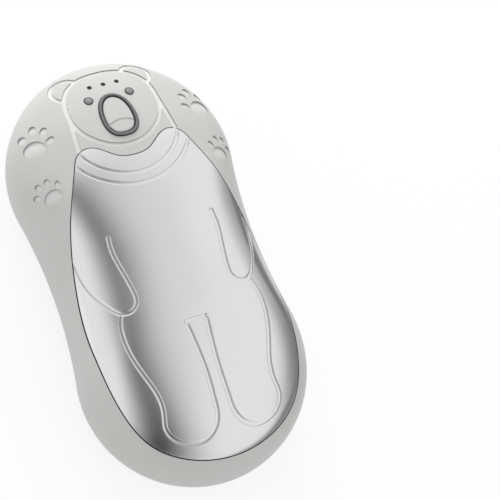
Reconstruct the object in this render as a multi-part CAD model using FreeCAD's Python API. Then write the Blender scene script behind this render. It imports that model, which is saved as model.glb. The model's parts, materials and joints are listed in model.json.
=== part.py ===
import FreeCAD, Part

import math
import os
from functools import lru_cache

# Rechargeable hand warmer, in millimetres.
# The origin is the middle of the flat land of the rear rim. +Z points out of the front, +Y to the head end.

# Body outline: two equal round lobes joined by two hollow waist arcs.
BODY_LENGTH = 120.0
LOBE_RADIUS = 30.8
WAIST_HALF_WIDTH = 28.2

# Body depth: the front is a crowned dome, the back is flat with a rounded rim.
FRONT_HEIGHT = 20.5
BACK_HEIGHT = 9.5
DOME_SIDE_POWER = 2.8
DOME_CROWN_POWER = 2.7
DOME_STEPS = 10
CROWN_FLAT_SHARE = 0.06
WALL = 2.2

# Rear rim, whose edge is a quarter ellipse as high as the back, and the cover that sits inside it.
RIM_WIDTH = 5.0
RIM_LAND = 0.9
RIM_SLOPE = 1.1
PANEL_DEPTH = 0.9
COVER_THICKNESS = 1.8
COVER_GAP = 0.1
SEAT_WIDTH = 1.2
SEAT_THICKNESS = 1.8

# Hooks that hold the head end of the cover behind the seat.
HOOK_ANGLE = 28.0
HOOK_WIDTH = 6.0
HOOK_THICKNESS = 1.2
HOOK_REACH = 1.2
HOOK_GAP = 0.15

# Front heating plate.
PLATE_HALF_WIDTH = 26.7
PLATE_FOOT = 55.5
PLATE_THICKNESS = 1.0
SEAM_GAP = 0.15
BOND_THICKNESS = 0.15
# Right half of the plate's outline, as shares of the half width and of the foot length.
PLATE_SHARES = (
    (0.0, 0.485), (0.165, 0.501), (0.3, 0.55), (0.423, 0.577), (0.528, 0.562), (0.614, 0.497),
    (0.794, 0.288), (0.933, 0.004), (1.0, -0.36), (0.936, -0.649), (0.757, -0.84), (0.419, -0.959),
    (0.0, -1.0),
)
WINDOW_LENGTH = 56.0
WINDOW_WIDTH = 37.0
WINDOW_Y = -12.0

# Lines pressed into the plate: a figure with two arms and two legs, and two neck rings.
GROOVE_WIDTH = 1.25
GROOVE_DEPTH = 0.3
NECK_Y = 37.5
INNER_NECK_RING = 15.45
OUTER_NECK_RING = 18.6
NECK_RING_WIDTH = 1.1
# Right-hand lines of the figure, as shares of the plate's half width and foot length.
ARM_SHARES = (
    (0.543, 0.137), (0.554, 0.058), (0.528, -0.038), (0.494, -0.146), (0.506, -0.214), (0.577, -0.243),
    (0.67, -0.238), (0.753, -0.191), (0.846, -0.097), (0.893, 0.018), (0.895, 0.133),
)
LEG_SHARES = (
    (0.693, -0.252), (0.727, -0.337), (0.708, -0.45), (0.637, -0.568), (0.581, -0.667), (0.584, -0.744),
    (0.599, -0.796), (0.539, -0.858), (0.408, -0.895), (0.277, -0.903), (0.169, -0.879), (0.097, -0.832),
    (0.073, -0.744), (0.066, -0.632), (0.075, -0.523), (0.105, -0.369),
)
# Half of the short line that joins the inner ends of the legs.
FORK_SHARES = ((0.0, -0.364), (0.125, -0.364))

# Rear oval plate.
REAR_PLATE_LENGTH = 71.0
REAR_PLATE_WIDTH = 37.0
REAR_PLATE_THICKNESS = 0.8
REAR_LEDGE = 4.0

# Heater films, and the stiff boards that shield the cells from them.
FILM_THICKNESS = 0.3
FILM_MARGIN = 1.5
SHIELD_THICKNESS = 0.8
SHIELD_LENGTH = 58.0
SHIELD_WIDTH = 34.0
SHIELD_CORNER = 6.0

# Two stacked pouch cells in a tray.
CELL_LENGTH = 60.0
CELL_WIDTH = 36.0
CELL_THICKNESS = 8.5
CELL_CORNER = 2.0
CELL_Y = -6.0
CELL_SPACER = 0.5
CELL_FIT = 0.3
TRAY_WALL = 1.0
TRAY_FLOOR = 1.0
TRAY_HEIGHT = 9.0
SAFETY_BOARD_WIDTH = 24.0
SAFETY_BOARD_HEIGHT = 8.0
SAFETY_BOARD_THICKNESS = 1.0

# Control board in the head.
BOARD_TOP = 10.8
BOARD_THICKNESS = 1.2
BOARD_INSET = 8.5
BOARD_START_Y = 26.2
BOARD_TONGUE_WIDTH = 12.0
BOARD_TONGUE_BACK = 2.5
BOARD_BOSS_X = 17.0
BOARD_BOSS_Y = 36.0
BOSS_RADIUS = 2.5
BOARD_SCREW_RADIUS = 0.9
BOARD_SCREW_HEAD_RADIUS = 1.8
BOARD_SCREW_HEAD_HEIGHT = 1.2
BOARD_SCREW_LENGTH = 6.0
CHIP_SIDE = 5.0
CHIP_HEIGHT = 1.0
CHIP_X = -10.0
CHIP_Y = 42.0
COIL_SIDE = 6.0
COIL_HEIGHT = 3.0
COIL_X = 10.0
COIL_Y = 43.0
COIL_CHAMFER = 1.0

# Charging socket in the head end.
PORT_WIDTH = 8.94
PORT_HEIGHT = 3.26
PORT_LENGTH = 7.35
PORT_WALL = 0.3
PORT_ROUND_SHARE = 0.8
PORT_SINK = 1.2
PORT_GAP = 0.2
PORT_BLOCK = 1.6
PORT_TONGUE_WIDTH = 6.7
PORT_TONGUE_THICKNESS = 0.7
PORT_TONGUE_LENGTH = 4.6

# Nose button, its ring and the switch below it.
NOSE_Y = 39.65
NOSE_LENGTH = 13.8
NOSE_WIDTH = 10.0
# Right half of the nose outline, as shares of half its width and half its length.
NOSE_SHARES = ((0.0, 1.0), (0.46, 0.89), (0.82, 0.55), (1.0, -0.08), (0.92, -0.56), (0.6, -0.89), (0.0, -1.0))
RING_WIDTH = 1.35
RING_SINK = 0.15
RING_FIT = 0.05
RING_FLOOR_DROP = 6.2
BUTTON_GAP = 0.2
BUTTON_PROUD = 0.3
BUTTON_TRAVEL = 0.5
SLEEVE_WALL = 1.2
SLEEVE_DROP = 7.6
FLANGE_WIDTH = 0.9
FLANGE_THICKNESS = 1.0
FLANGE_GAP = 0.05
MOUTH_RADIUS = 5.6
MOUTH_DROP = 1.85
MOUTH_WIDTH = 0.5
MOUTH_DEPTH = 0.25
SWITCH_SIDE = 6.0
SWITCH_HEIGHT = 4.3
PLUNGER_RADIUS = 1.75
PLUNGER_GAP = 0.15

# Eyes, and the three indicator lights above them.
EYE_X = 5.85
EYE_Y = 45.8
EYE_RADIUS = 1.3
EYE_DEPTH = 1.4
EYE_SINK = 0.12
EYE_FIT = 0.05
LIGHT_PITCH = 3.9
LIGHT_Y = 49.95
LIGHT_RADIUS = 0.65
LIGHT_FIT = 0.05
LIGHT_SINK = 0.4
LIGHT_BRIDGE_RISE = 7.6
LIGHT_BRIDGE_THICKNESS = 1.2
LIGHT_BRIDGE_WIDTH = 3.0
LED_LENGTH = 1.6
LED_WIDTH = 0.8
LED_HEIGHT = 0.6

# Head drawn on the shell: a face, two ears, two neck lines and four paw prints.
LINE_WIDTH = 1.3
LINE_DEPTH = 0.45
FACE_Y = 42.4
FACE_HALF_WIDTH = 12.6
FACE_HALF_HEIGHT = 12.0
# Right half of the face outline, and a neck line, as shares of the face's half width and half height.
FACE_SHARES = (
    (0.0, 1.0), (0.52, 0.92), (0.8, 0.71), (0.97, 0.375), (1.0, 0.02), (0.92, -0.38), (0.7, -0.69),
    (0.35, -0.93), (0.0, -1.0),
)
NECK_LINE_SHARES = ((0.976, 0.283), (1.04, -0.367), (1.095, -0.917))
EAR_RADIUS = 3.95
EAR_X = 10.05
EAR_Y = 51.3
PAW_DEPTH = 0.35
# Each paw has its place on the right side, the half width of its pad and its turn in degrees.
UPPER_PAW_X = 23.6
UPPER_PAW_Y = 36.9
UPPER_PAW_SIZE = 2.9
UPPER_PAW_TURN = 26.0
LOWER_PAW_X = 23.7
LOWER_PAW_Y = 22.3
LOWER_PAW_SIZE = 2.3
LOWER_PAW_TURN = -18.0
PAW_PAD_SHARES = (1.0, 0.82)
PAW_TOE_SHARES = (0.4, 0.29)
# Each toe's distance from the pad's middle, as a share of the pad's half width, and its angle in degrees.
PAW_TOE_PLACE_SHARES = ((1.62, -47.0), (2.07, -13.0), (1.9, 15.0), (1.48, 52.0))

# Two long screws under the front plate hold the foot end together.
CASE_SCREW_X = 9.0
CASE_SCREW_Y = -46.5
CASE_BOSS_RADIUS = 3.0
CASE_POST_TOP = 13.0
CASE_SEAT = 19.8
CASE_SCREW_RADIUS = 1.1
CASE_HEAD_RADIUS = 2.2
CASE_HEAD_HEIGHT = 1.6
CASE_SCREW_LENGTH = 14.0
SCREW_GAP = 0.1

# Wires.
WIRE_RADIUS = 0.7
WIRE_BEND = 2.5
LEAD_X = 6.0
WIRE_LANDING = 1.5
FRONT_WIRE_X = 10.0
FRONT_WIRE_Y = 4.0
FRONT_WIRE_DROP = 5.0
REAR_WIRE_X = 2.5

OVERRUN = 1.0

# Values that follow from the sizes above.
LOBE_Y = BODY_LENGTH / 2 - LOBE_RADIUS
WAIST_DIP = LOBE_RADIUS - WAIST_HALF_WIDTH
WAIST_RADIUS = (LOBE_Y**2 + WAIST_HALF_WIDTH**2 - LOBE_RADIUS**2) / (2 * WAIST_DIP)
WAIST_X = WAIST_HALF_WIDTH + WAIST_RADIUS
BODY_TOP = BACK_HEIGHT + FRONT_HEIGHT
COVER_INSET = RIM_WIDTH + RIM_LAND + RIM_SLOPE
OPENING_INSET = COVER_INSET + SEAT_WIDTH
COVER_INNER = PANEL_DEPTH + COVER_THICKNESS
SEAT_TOP = COVER_INNER + SEAT_THICKNESS
TRAY_BASE = COVER_INNER + SHIELD_THICKNESS
CELL_BASE = TRAY_BASE + TRAY_FLOOR
FRONT_CELL_BASE = CELL_BASE + CELL_THICKNESS + CELL_SPACER
CELL_TOP = FRONT_CELL_BASE + CELL_THICKNESS
CELL_HEAD = CELL_Y + CELL_LENGTH / 2
SLEEVE_BOTTOM = BODY_TOP - SLEEVE_DROP
FLANGE_TOP = SLEEVE_BOTTOM - FLANGE_GAP
FLANGE_BOTTOM = FLANGE_TOP - FLANGE_THICKNESS
PORT_FACE = BODY_LENGTH / 2 - PORT_SINK
PORT_Z = BOARD_TOP + PORT_HEIGHT / 2
WIRE_LANDING_Y = BOARD_START_Y + WIRE_LANDING
BRIDGE_BASE = BOARD_TOP + LIGHT_BRIDGE_RISE
POCKET_DEPTH = PLATE_THICKNESS + BOND_THICKNESS
PAWS = (
    (UPPER_PAW_X, UPPER_PAW_Y, UPPER_PAW_SIZE, UPPER_PAW_TURN),
    (LOWER_PAW_X, LOWER_PAW_Y, LOWER_PAW_SIZE, LOWER_PAW_TURN),
)
# Middle weight of a quarter circle or ellipse drawn as a rational curve.
QUARTER_WEIGHT = math.sqrt(0.5)


def vector(x, y, z=0.0):
    return FreeCAD.Vector(x, y, z)


def outline_arcs(inset, scale=1.0, z=0.0):
    """Six tangent arcs of the body outline, set in by a distance and then scaled about the middle."""
    radius = LOBE_RADIUS - inset
    waist = WAIST_HALF_WIDTH - inset
    dip = math.atan2(LOBE_Y, WAIST_X)
    reach = (radius * math.cos(dip), LOBE_Y - radius * math.sin(dip))
    middle = math.pi / 4 - dip / 2
    bulge = (radius * math.cos(middle), LOBE_Y + radius * math.sin(middle))
    end = LOBE_Y + radius
    upper = [reach, bulge, (0.0, end)]
    lower = [(x, -y) for x, y in reversed(upper)]
    right = lower + [(waist, 0.0)] + upper
    left = [(-x, y) for x, y in reversed(right)]
    corners = [vector(scale * x, scale * y, z) for x, y in right + left[1:]]
    return [Part.Arc(*corners[start:start + 3]) for start in range(0, len(corners) - 2, 2)]


def outline_wire(inset, z, scale=1.0):
    return Part.Wire([arc.toShape() for arc in outline_arcs(inset, scale, z)])


def prism(wire, height):
    return Part.Face(wire).extrude(vector(0.0, 0.0, height))


def sewn_solid(faces):
    shell = Part.Shell(faces)
    shell.sewShape()
    solid = Part.Solid(shell)
    if solid.Volume < 0:
        solid.reverse()
    return solid


@lru_cache(maxsize=None)
def dome(inset):
    """Solid under the front dome: a rounded side profile carried round the outline, set in by a distance."""
    height = FRONT_HEIGHT - inset
    last = math.acos(CROWN_FLAT_SHARE ** (DOME_SIDE_POWER / 2))
    turns = [last * step / DOME_STEPS for step in range(DOME_STEPS + 1)]
    spread = [math.cos(turn) ** (2 / DOME_SIDE_POWER) for turn in turns]
    rise = [BACK_HEIGHT + height * math.sin(turn) ** (2 / DOME_CROWN_POWER) for turn in turns]
    profile = Part.BSplineCurve()
    points = [vector(share * WAIST_HALF_WIDTH, z) for share, z in zip(spread, rise)]
    profile.interpolate(Points=points, InitialTangent=vector(0.0, 1.0), FinalTangent=vector(-1.0, 0.0))
    faces = []
    for arc in outline_arcs(inset):
        curve = arc.toBSpline()
        poles = []
        for pole in curve.getPoles():
            row = [(side.x / WAIST_HALF_WIDTH, side.y) for side in profile.getPoles()]
            poles.append([vector(share * pole.x, share * pole.y, z) for share, z in row])
        weights = [[weight] * len(profile.getPoles()) for weight in curve.getWeights()]
        surface = Part.BSplineSurface()
        surface.buildFromPolesMultsKnots(
            poles, curve.getMultiplicities(), profile.getMultiplicities(),
            curve.getKnots(), profile.getKnots(), False, False, curve.Degree, profile.Degree, weights)
        faces.append(surface.toShape())
    faces.append(Part.Face(outline_wire(inset, BACK_HEIGHT)))
    faces.append(Part.Face(outline_wire(inset, rise[-1], CROWN_FLAT_SHARE)))
    return sewn_solid(faces)


def rounded_back():
    """Solid behind the widest line: a quarter ellipse carried round the outline, down to the rim's land."""
    faces = []
    for widest, land in zip(outline_arcs(0.0), outline_arcs(RIM_WIDTH)):
        curve = widest.toBSpline()
        poles = []
        weights = []
        for far, near, weight in zip(curve.getPoles(), land.toBSpline().getPoles(), curve.getWeights()):
            poles.append([vector(far.x, far.y, BACK_HEIGHT), vector(far.x, far.y), vector(near.x, near.y)])
            weights.append([weight, weight * QUARTER_WEIGHT, weight])
        surface = Part.BSplineSurface()
        surface.buildFromPolesMultsKnots(
            poles, curve.getMultiplicities(), [3, 3], curve.getKnots(), [0, 1],
            False, False, curve.Degree, 2, weights)
        faces.append(surface.toShape())
    faces.append(Part.Face(outline_wire(0.0, BACK_HEIGHT)))
    faces.append(Part.Face(outline_wire(RIM_WIDTH, 0.0)))
    return sewn_solid(faces)


def mirrored_loop(half):
    """All points of a closed outline from its right half, clockwise from the top."""
    return half + [(-x, y) for x, y in reversed(half[1:-1])]


def closed_spline(half, grow=0.0, z=0.0):
    """Closed curve through a mirrored outline, moved outwards by a distance."""
    points = [vector(x, y, z) for x, y in mirrored_loop(half)]
    curve = Part.BSplineCurve()
    curve.interpolate(Points=points, PeriodicFlag=True)
    if grow:
        moved = []
        for point, knot in zip(points, curve.getKnots()):
            along = curve.tangent(knot)[0]
            moved.append(point + vector(-along.y, along.x) * grow)
        curve.interpolate(Points=moved, PeriodicFlag=True)
    return Part.Wire([curve.toShape()])


def plate_wire(grow=0.0, z=0.0):
    return closed_spline([(x * PLATE_HALF_WIDTH, y * PLATE_FOOT) for x, y in PLATE_SHARES], grow, z)


def nose_wire(grow, z):
    half = [(x * NOSE_WIDTH / 2, NOSE_Y + y * NOSE_LENGTH / 2) for x, y in NOSE_SHARES]
    return closed_spline(half, grow, z)


def face_wire(grow, z):
    half = [(x * FACE_HALF_WIDTH, FACE_Y + y * FACE_HALF_HEIGHT) for x, y in FACE_SHARES]
    return closed_spline(half, grow, z)


def ellipse_wire(x, y, half_x, half_y, z, turn=0.0):
    """Ellipse about a point, turned by some degrees."""
    centre = vector(x, y, z)
    if half_x > half_y:
        curve = Part.Ellipse(centre + vector(half_x, 0.0), centre + vector(0.0, half_y), centre)
    else:
        curve = Part.Ellipse(centre + vector(0.0, half_y), centre + vector(-half_x, 0.0), centre)
    wire = Part.Wire([curve.toShape()])
    wire.rotate(centre, vector(0.0, 0.0, 1.0), turn)
    return wire


def cylinder(x, y, z, radius, height):
    return Part.makeCylinder(radius, height, vector(x, y, z))


def box(x, y, z, width, length, height):
    """Box centred on x and y, standing on z."""
    return Part.makeBox(width, length, height, vector(x - width / 2, y - length / 2, z))


def rounded_box(x, y, z, width, length, height, corner):
    block = box(x, y, z, width, length, height)
    return block.makeFillet(corner, [edge for edge in block.Edges if edge.BoundBox.ZLength > height / 2])


def ring(x, y, z, radius, width, height):
    """Flat ring of a given width about a circle."""
    return cylinder(x, y, z, radius + width / 2, height).cut(cylinder(x, y, z, radius - width / 2, height))


def band(points, width, z, height):
    """Upright band of a given width along a smooth curve through points."""
    line = Part.BSplineCurve()
    line.interpolate(Points=[vector(x, y, z) for x, y in points])
    sides = []
    for side in (-width / 2, width / 2):
        moved = []
        for knot in line.getKnots():
            along = line.tangent(knot)[0]
            moved.append(line.value(knot) + vector(-along.y, along.x) * side)
        edge = Part.BSplineCurve()
        edge.interpolate(Points=moved)
        sides.append(edge)
    first, second = sides
    start = Part.makeLine(second.StartPoint, first.StartPoint)
    end = Part.makeLine(first.EndPoint, second.EndPoint)
    return prism(Part.Wire([first.toShape(), end, second.toShape(), start]), height)


def above(cutter, depth):
    """Part of an upright cutter that lies outside the dome at a depth below the surface."""
    return cutter.cut(dome(depth))


def window_wire(margin, z):
    return ellipse_wire(0.0, WINDOW_Y, WINDOW_WIDTH / 2 - margin, WINDOW_LENGTH / 2 - margin, z)


def rear_oval(margin, z):
    return ellipse_wire(0.0, 0.0, REAR_PLATE_WIDTH / 2 - margin, REAR_PLATE_LENGTH / 2 - margin, z)


def mirrored(shape):
    return shape.mirror(vector(0.0, 0.0), vector(1.0, 0.0))


def both_sides(shape):
    return [shape, mirrored(shape)]


def wire_tube(points):
    """Round wire along straight runs joined by tangent arcs."""
    corners = [vector(*point) for point in points]
    edges = []
    here = corners[0]
    for before, corner, after in zip(corners, corners[1:], corners[2:]):
        back = (before - corner).normalize()
        forth = (after - corner).normalize()
        half = back.getAngle(forth) / 2
        reach = WIRE_BEND / math.tan(half)
        bisector = (back + forth).normalize()
        bottom = corner + bisector * (WIRE_BEND / math.sin(half) - WIRE_BEND)
        edges.append(Part.makeLine(here, corner + back * reach))
        edges.append(Part.Arc(corner + back * reach, bottom, corner + forth * reach).toShape())
        here = corner + forth * reach
    edges.append(Part.makeLine(here, corners[-1]))
    path = Part.Wire(edges)
    section = Part.Wire([Part.makeCircle(WIRE_RADIUS, corners[0], corners[1] - corners[0])])
    return path.makePipeShell([section], True, False)


def paw_cutters():
    cutters = []
    for x, y, size, turn in PAWS:
        pad = ellipse_wire(x, y, size * PAW_PAD_SHARES[0], size * PAW_PAD_SHARES[1], BACK_HEIGHT, turn)
        wires = [pad]
        for reach, angle in PAW_TOE_PLACE_SHARES:
            heading = math.radians(90 + turn + angle)
            toe_x = x + size * reach * math.cos(heading)
            toe_y = y + size * reach * math.sin(heading)
            half_long, half_wide = (size * share for share in PAW_TOE_SHARES)
            wires.append(ellipse_wire(toe_x, toe_y, half_wide, half_long, BACK_HEIGHT, turn + angle))
        for wire in wires:
            cutters += both_sides(above(prism(wire, FRONT_HEIGHT + OVERRUN), PAW_DEPTH))
    return cutters


def head_line_cutters():
    height = FRONT_HEIGHT + OVERRUN
    inside = prism(face_wire(-LINE_WIDTH / 2, BACK_HEIGHT), height)
    face = prism(face_wire(LINE_WIDTH / 2, BACK_HEIGHT), height).cut(inside)
    ear = ring(EAR_X, EAR_Y, BACK_HEIGHT, EAR_RADIUS, LINE_WIDTH, height).cut(inside)
    points = [(x * FACE_HALF_WIDTH, FACE_Y + y * FACE_HALF_HEIGHT) for x, y in NECK_LINE_SHARES]
    neck = band(points, LINE_WIDTH, BACK_HEIGHT, height)
    cutters = [above(face, LINE_DEPTH)]
    for line in (ear, neck):
        cutters += both_sides(above(line, LINE_DEPTH))
    return cutters


def outer_shell():
    shell = rounded_back().fuse(dome(0.0))
    cavity = prism(outline_wire(WALL, SEAT_TOP), BACK_HEIGHT - SEAT_TOP).fuse(dome(WALL))
    opening = prism(outline_wire(OPENING_INSET, COVER_INNER), SEAT_THICKNESS)
    recess = prism(outline_wire(COVER_INSET, PANEL_DEPTH), COVER_THICKNESS)
    edges = [outline_wire(RIM_WIDTH + RIM_LAND, 0.0), outline_wire(COVER_INSET, PANEL_DEPTH)]
    slope = Part.makeLoft(edges, True, True)
    shell = shell.cut([cavity, opening, recess, slope])
    inside = dome(WALL / 2)
    added = [prism(nose_wire(SLEEVE_WALL, SLEEVE_BOTTOM), SLEEVE_DROP)]
    added += both_sides(cylinder(BOARD_BOSS_X, BOARD_BOSS_Y, BOARD_TOP, BOSS_RADIUS, BODY_TOP - BOARD_TOP))
    boss_height = BODY_TOP - CASE_POST_TOP
    added += both_sides(cylinder(CASE_SCREW_X, CASE_SCREW_Y, CASE_POST_TOP, CASE_BOSS_RADIUS, boss_height))
    shell = shell.fuse([piece.common(inside) for piece in added])
    return shell.cut(shell_cutters())


def shell_cutters():
    height = FRONT_HEIGHT + OVERRUN
    cutters = [above(prism(plate_wire(SEAM_GAP, BACK_HEIGHT), height), POCKET_DEPTH)]
    cutters.append(prism(window_wire(0.0, BACK_HEIGHT), height))
    cutters += case_head_holes()
    shank = CASE_SCREW_RADIUS + SCREW_GAP
    for x in (-CASE_SCREW_X, CASE_SCREW_X):
        cutters.append(cylinder(x, CASE_SCREW_Y, CASE_POST_TOP, shank, CASE_SEAT - CASE_POST_TOP))
    ring_floor = BODY_TOP - RING_FLOOR_DROP
    cutters.append(prism(nose_wire(0.0, ring_floor), RING_FLOOR_DROP))
    cutters.append(prism(nose_wire(-RING_WIDTH, SLEEVE_BOTTOM), SLEEVE_DROP))
    for x in (-EYE_X, EYE_X):
        cutters.append(above(cylinder(x, EYE_Y, BACK_HEIGHT, EYE_RADIUS, height), EYE_DEPTH))
    for x in (-LIGHT_PITCH, 0.0, LIGHT_PITCH):
        cutters.append(cylinder(x, LIGHT_Y, BRIDGE_BASE, LIGHT_RADIUS, BODY_TOP - BRIDGE_BASE))
    for x in (-BOARD_BOSS_X, BOARD_BOSS_X):
        length = BOARD_SCREW_LENGTH - BOARD_THICKNESS + SCREW_GAP
        cutters.append(cylinder(x, BOARD_BOSS_Y, BOARD_TOP, BOARD_SCREW_RADIUS + SCREW_GAP, length))
    cutters.append(port_slug(PORT_GAP, PORT_FACE - PORT_LENGTH, PORT_LENGTH + PORT_SINK + OVERRUN))
    return cutters + paw_cutters() + head_line_cutters()


def case_head_holes():
    """Holes from the front down to the seats of the long screws."""
    radius = CASE_HEAD_RADIUS + SCREW_GAP
    places = (-CASE_SCREW_X, CASE_SCREW_X)
    return [cylinder(x, CASE_SCREW_Y, CASE_SEAT, radius, BODY_TOP - CASE_SEAT) for x in places]


def port_slug(grow, start, length):
    """Bar with round ends, lying along Y at the charging socket."""
    width = PORT_WIDTH + 2 * grow
    height = PORT_HEIGHT + 2 * grow
    bar = Part.makeBox(width, length, height, vector(-width / 2, start, PORT_Z - height / 2))
    corner = height / 2 * PORT_ROUND_SHARE
    return bar.makeFillet(corner, [edge for edge in bar.Edges if edge.BoundBox.YLength > length / 2])


def back_cover():
    edge = COVER_INSET + COVER_GAP
    cover = prism(outline_wire(edge, PANEL_DEPTH), COVER_THICKNESS)
    cover = cover.cut(prism(rear_oval(-SEAM_GAP, PANEL_DEPTH), REAR_PLATE_THICKNESS + BOND_THICKNESS))
    cover = cover.cut(prism(rear_oval(REAR_LEDGE, PANEL_DEPTH), COVER_THICKNESS))
    added = []
    for x in (-CASE_SCREW_X, CASE_SCREW_X):
        added.append(cylinder(x, CASE_SCREW_Y, COVER_INNER, CASE_BOSS_RADIUS, CASE_POST_TOP - COVER_INNER))
    hook = cover_hook()
    for angle in (-HOOK_ANGLE, HOOK_ANGLE):
        turned = hook.copy()
        turned.rotate(vector(0.0, LOBE_Y), vector(0.0, 0.0, 1.0), angle)
        added.append(turned)
    cover = cover.fuse(added)
    holes = []
    for x in (-CASE_SCREW_X, CASE_SCREW_X):
        depth = CASE_SCREW_LENGTH - (CASE_SEAT - CASE_POST_TOP) + SCREW_GAP
        holes.append(cylinder(x, CASE_SCREW_Y, CASE_POST_TOP - depth, CASE_SCREW_RADIUS + SCREW_GAP, depth))
    return cover.cut(holes)


def cover_hook():
    """Upright strip with a lip that reaches over the seat, at the head end on the middle line."""
    radius = LOBE_RADIUS - OPENING_INSET
    outer = LOBE_Y + math.sqrt(radius**2 - (HOOK_WIDTH / 2) ** 2) - HOOK_GAP
    base = SEAT_TOP + HOOK_GAP
    strip = box(0.0, outer - HOOK_THICKNESS / 2, COVER_INNER, HOOK_WIDTH, HOOK_THICKNESS, base - COVER_INNER)
    length = HOOK_THICKNESS + HOOK_REACH
    lip = box(0.0, outer - HOOK_THICKNESS + length / 2, base, HOOK_WIDTH, length, HOOK_THICKNESS)
    return strip.fuse(lip).removeSplitter()


def layer(outer_depth, inner_depth, wire):
    """Curved sheet between two depths below the dome, inside an outline drawn from the front."""
    return prism(wire, FRONT_HEIGHT + OVERRUN).common(dome(outer_depth)).cut(dome(inner_depth))


def figure_cutters():
    height = FRONT_HEIGHT + OVERRUN
    cutters = []
    for radius in (INNER_NECK_RING, OUTER_NECK_RING):
        cutters.append(above(ring(0.0, NECK_Y, BACK_HEIGHT, radius, NECK_RING_WIDTH, height), GROOVE_DEPTH))
    for shares in (ARM_SHARES, LEG_SHARES, FORK_SHARES):
        points = [(x * PLATE_HALF_WIDTH, y * PLATE_FOOT) for x, y in shares]
        cutters += both_sides(above(band(points, GROOVE_WIDTH, BACK_HEIGHT, height), GROOVE_DEPTH))
    return cutters


def front_plate():
    return layer(0.0, PLATE_THICKNESS, plate_wire(0.0, BACK_HEIGHT)).cut(figure_cutters())


def front_plate_bond():
    sheet = layer(PLATE_THICKNESS, POCKET_DEPTH, plate_wire(-SEAM_GAP, BACK_HEIGHT))
    return sheet.cut([prism(window_wire(0.0, BACK_HEIGHT), FRONT_HEIGHT + OVERRUN)] + case_head_holes())


def front_heater_film():
    return layer(PLATE_THICKNESS, PLATE_THICKNESS + FILM_THICKNESS, window_wire(FILM_MARGIN, BACK_HEIGHT))


def rear_plate():
    return prism(rear_oval(0.0, PANEL_DEPTH), REAR_PLATE_THICKNESS)


def rear_plate_bond():
    base = PANEL_DEPTH + REAR_PLATE_THICKNESS
    return prism(rear_oval(0.0, base), BOND_THICKNESS).cut(prism(rear_oval(REAR_LEDGE, base), BOND_THICKNESS))


def rear_heater_film():
    return prism(rear_oval(REAR_LEDGE + FILM_MARGIN, PANEL_DEPTH + REAR_PLATE_THICKNESS), FILM_THICKNESS)


def shield(z):
    return rounded_box(0.0, CELL_Y, z, SHIELD_WIDTH, SHIELD_LENGTH, SHIELD_THICKNESS, SHIELD_CORNER)


def cell(z):
    block = box(0.0, CELL_Y, z, CELL_WIDTH, CELL_LENGTH, CELL_THICKNESS)
    long_edges = [edge for edge in block.Edges if edge.BoundBox.YLength > CELL_LENGTH / 2]
    return block.makeFillet(CELL_CORNER, long_edges)


def cell_spacer():
    width = CELL_WIDTH - 2 * CELL_CORNER
    return box(0.0, CELL_Y, CELL_BASE + CELL_THICKNESS, width, CELL_LENGTH, CELL_SPACER)


def battery_tray():
    inner = (CELL_WIDTH + 2 * CELL_FIT, CELL_LENGTH + 2 * CELL_FIT)
    outer = (inner[0] + 2 * TRAY_WALL, inner[1] + 2 * TRAY_WALL)
    tray = rounded_box(0.0, CELL_Y, TRAY_BASE, *outer, TRAY_FLOOR + TRAY_HEIGHT, CELL_CORNER)
    return tray.cut(box(0.0, CELL_Y, CELL_BASE, *inner, TRAY_HEIGHT))


def safety_board():
    z = FRONT_CELL_BASE + (CELL_THICKNESS - SAFETY_BOARD_HEIGHT) / 2
    y = CELL_HEAD + SAFETY_BOARD_THICKNESS / 2
    return box(0.0, y, z, SAFETY_BOARD_WIDTH, SAFETY_BOARD_THICKNESS, SAFETY_BOARD_HEIGHT)


def battery_lead(x):
    z = FRONT_CELL_BASE + CELL_THICKNESS / 2
    start = CELL_HEAD + SAFETY_BOARD_THICKNESS
    return wire_tube([(x, start, z), (x, WIRE_LANDING_Y, z), (x, WIRE_LANDING_Y, BOARD_TOP)])


def front_heater_leads():
    top = BODY_TOP - PLATE_THICKNESS - FILM_THICKNESS
    level = BODY_TOP - FRONT_WIRE_DROP
    wires = []
    for x in (-FRONT_WIRE_X, FRONT_WIRE_X):
        start = [(x, FRONT_WIRE_Y, top), (x, FRONT_WIRE_Y, level)]
        end = [(x, WIRE_LANDING_Y, level), (x, WIRE_LANDING_Y, BOARD_TOP)]
        wires.append(wire_tube(start + end).common(dome(PLATE_THICKNESS + FILM_THICKNESS).fuse(board_room())))
    return Part.makeCompound(wires)


def board_room():
    """Space below the dome where the wires reach the board."""
    return prism(outline_wire(WALL, 0.0), BACK_HEIGHT)


def rear_heater_leads():
    base = PANEL_DEPTH + REAR_PLATE_THICKNESS + FILM_THICKNESS
    height = BOARD_TOP - BOARD_THICKNESS - base
    places = (-REAR_WIRE_X, REAR_WIRE_X)
    return Part.makeCompound([cylinder(x, WIRE_LANDING_Y, base, WIRE_RADIUS, height) for x in places])


def control_board():
    base = BOARD_TOP - BOARD_THICKNESS
    board = prism(outline_wire(BOARD_INSET, base), BOARD_THICKNESS)
    keep_length = BODY_LENGTH / 2 - BOARD_START_Y
    middle = BOARD_START_Y + keep_length / 2
    board = board.common(box(0.0, middle, base, BODY_LENGTH, keep_length, BOARD_THICKNESS))
    tongue_end = PORT_FACE - BOARD_TONGUE_BACK
    tongue_length = tongue_end - BOARD_START_Y
    middle = tongue_end - tongue_length / 2
    tongue = box(0.0, middle, base, BOARD_TONGUE_WIDTH, tongue_length, BOARD_THICKNESS)
    board = board.fuse(tongue).removeSplitter()
    holes = [cylinder(x, BOARD_BOSS_Y, base, BOARD_SCREW_RADIUS + SCREW_GAP, BOARD_THICKNESS)
             for x in (-BOARD_BOSS_X, BOARD_BOSS_X)]
    return board.cut(holes)


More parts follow.
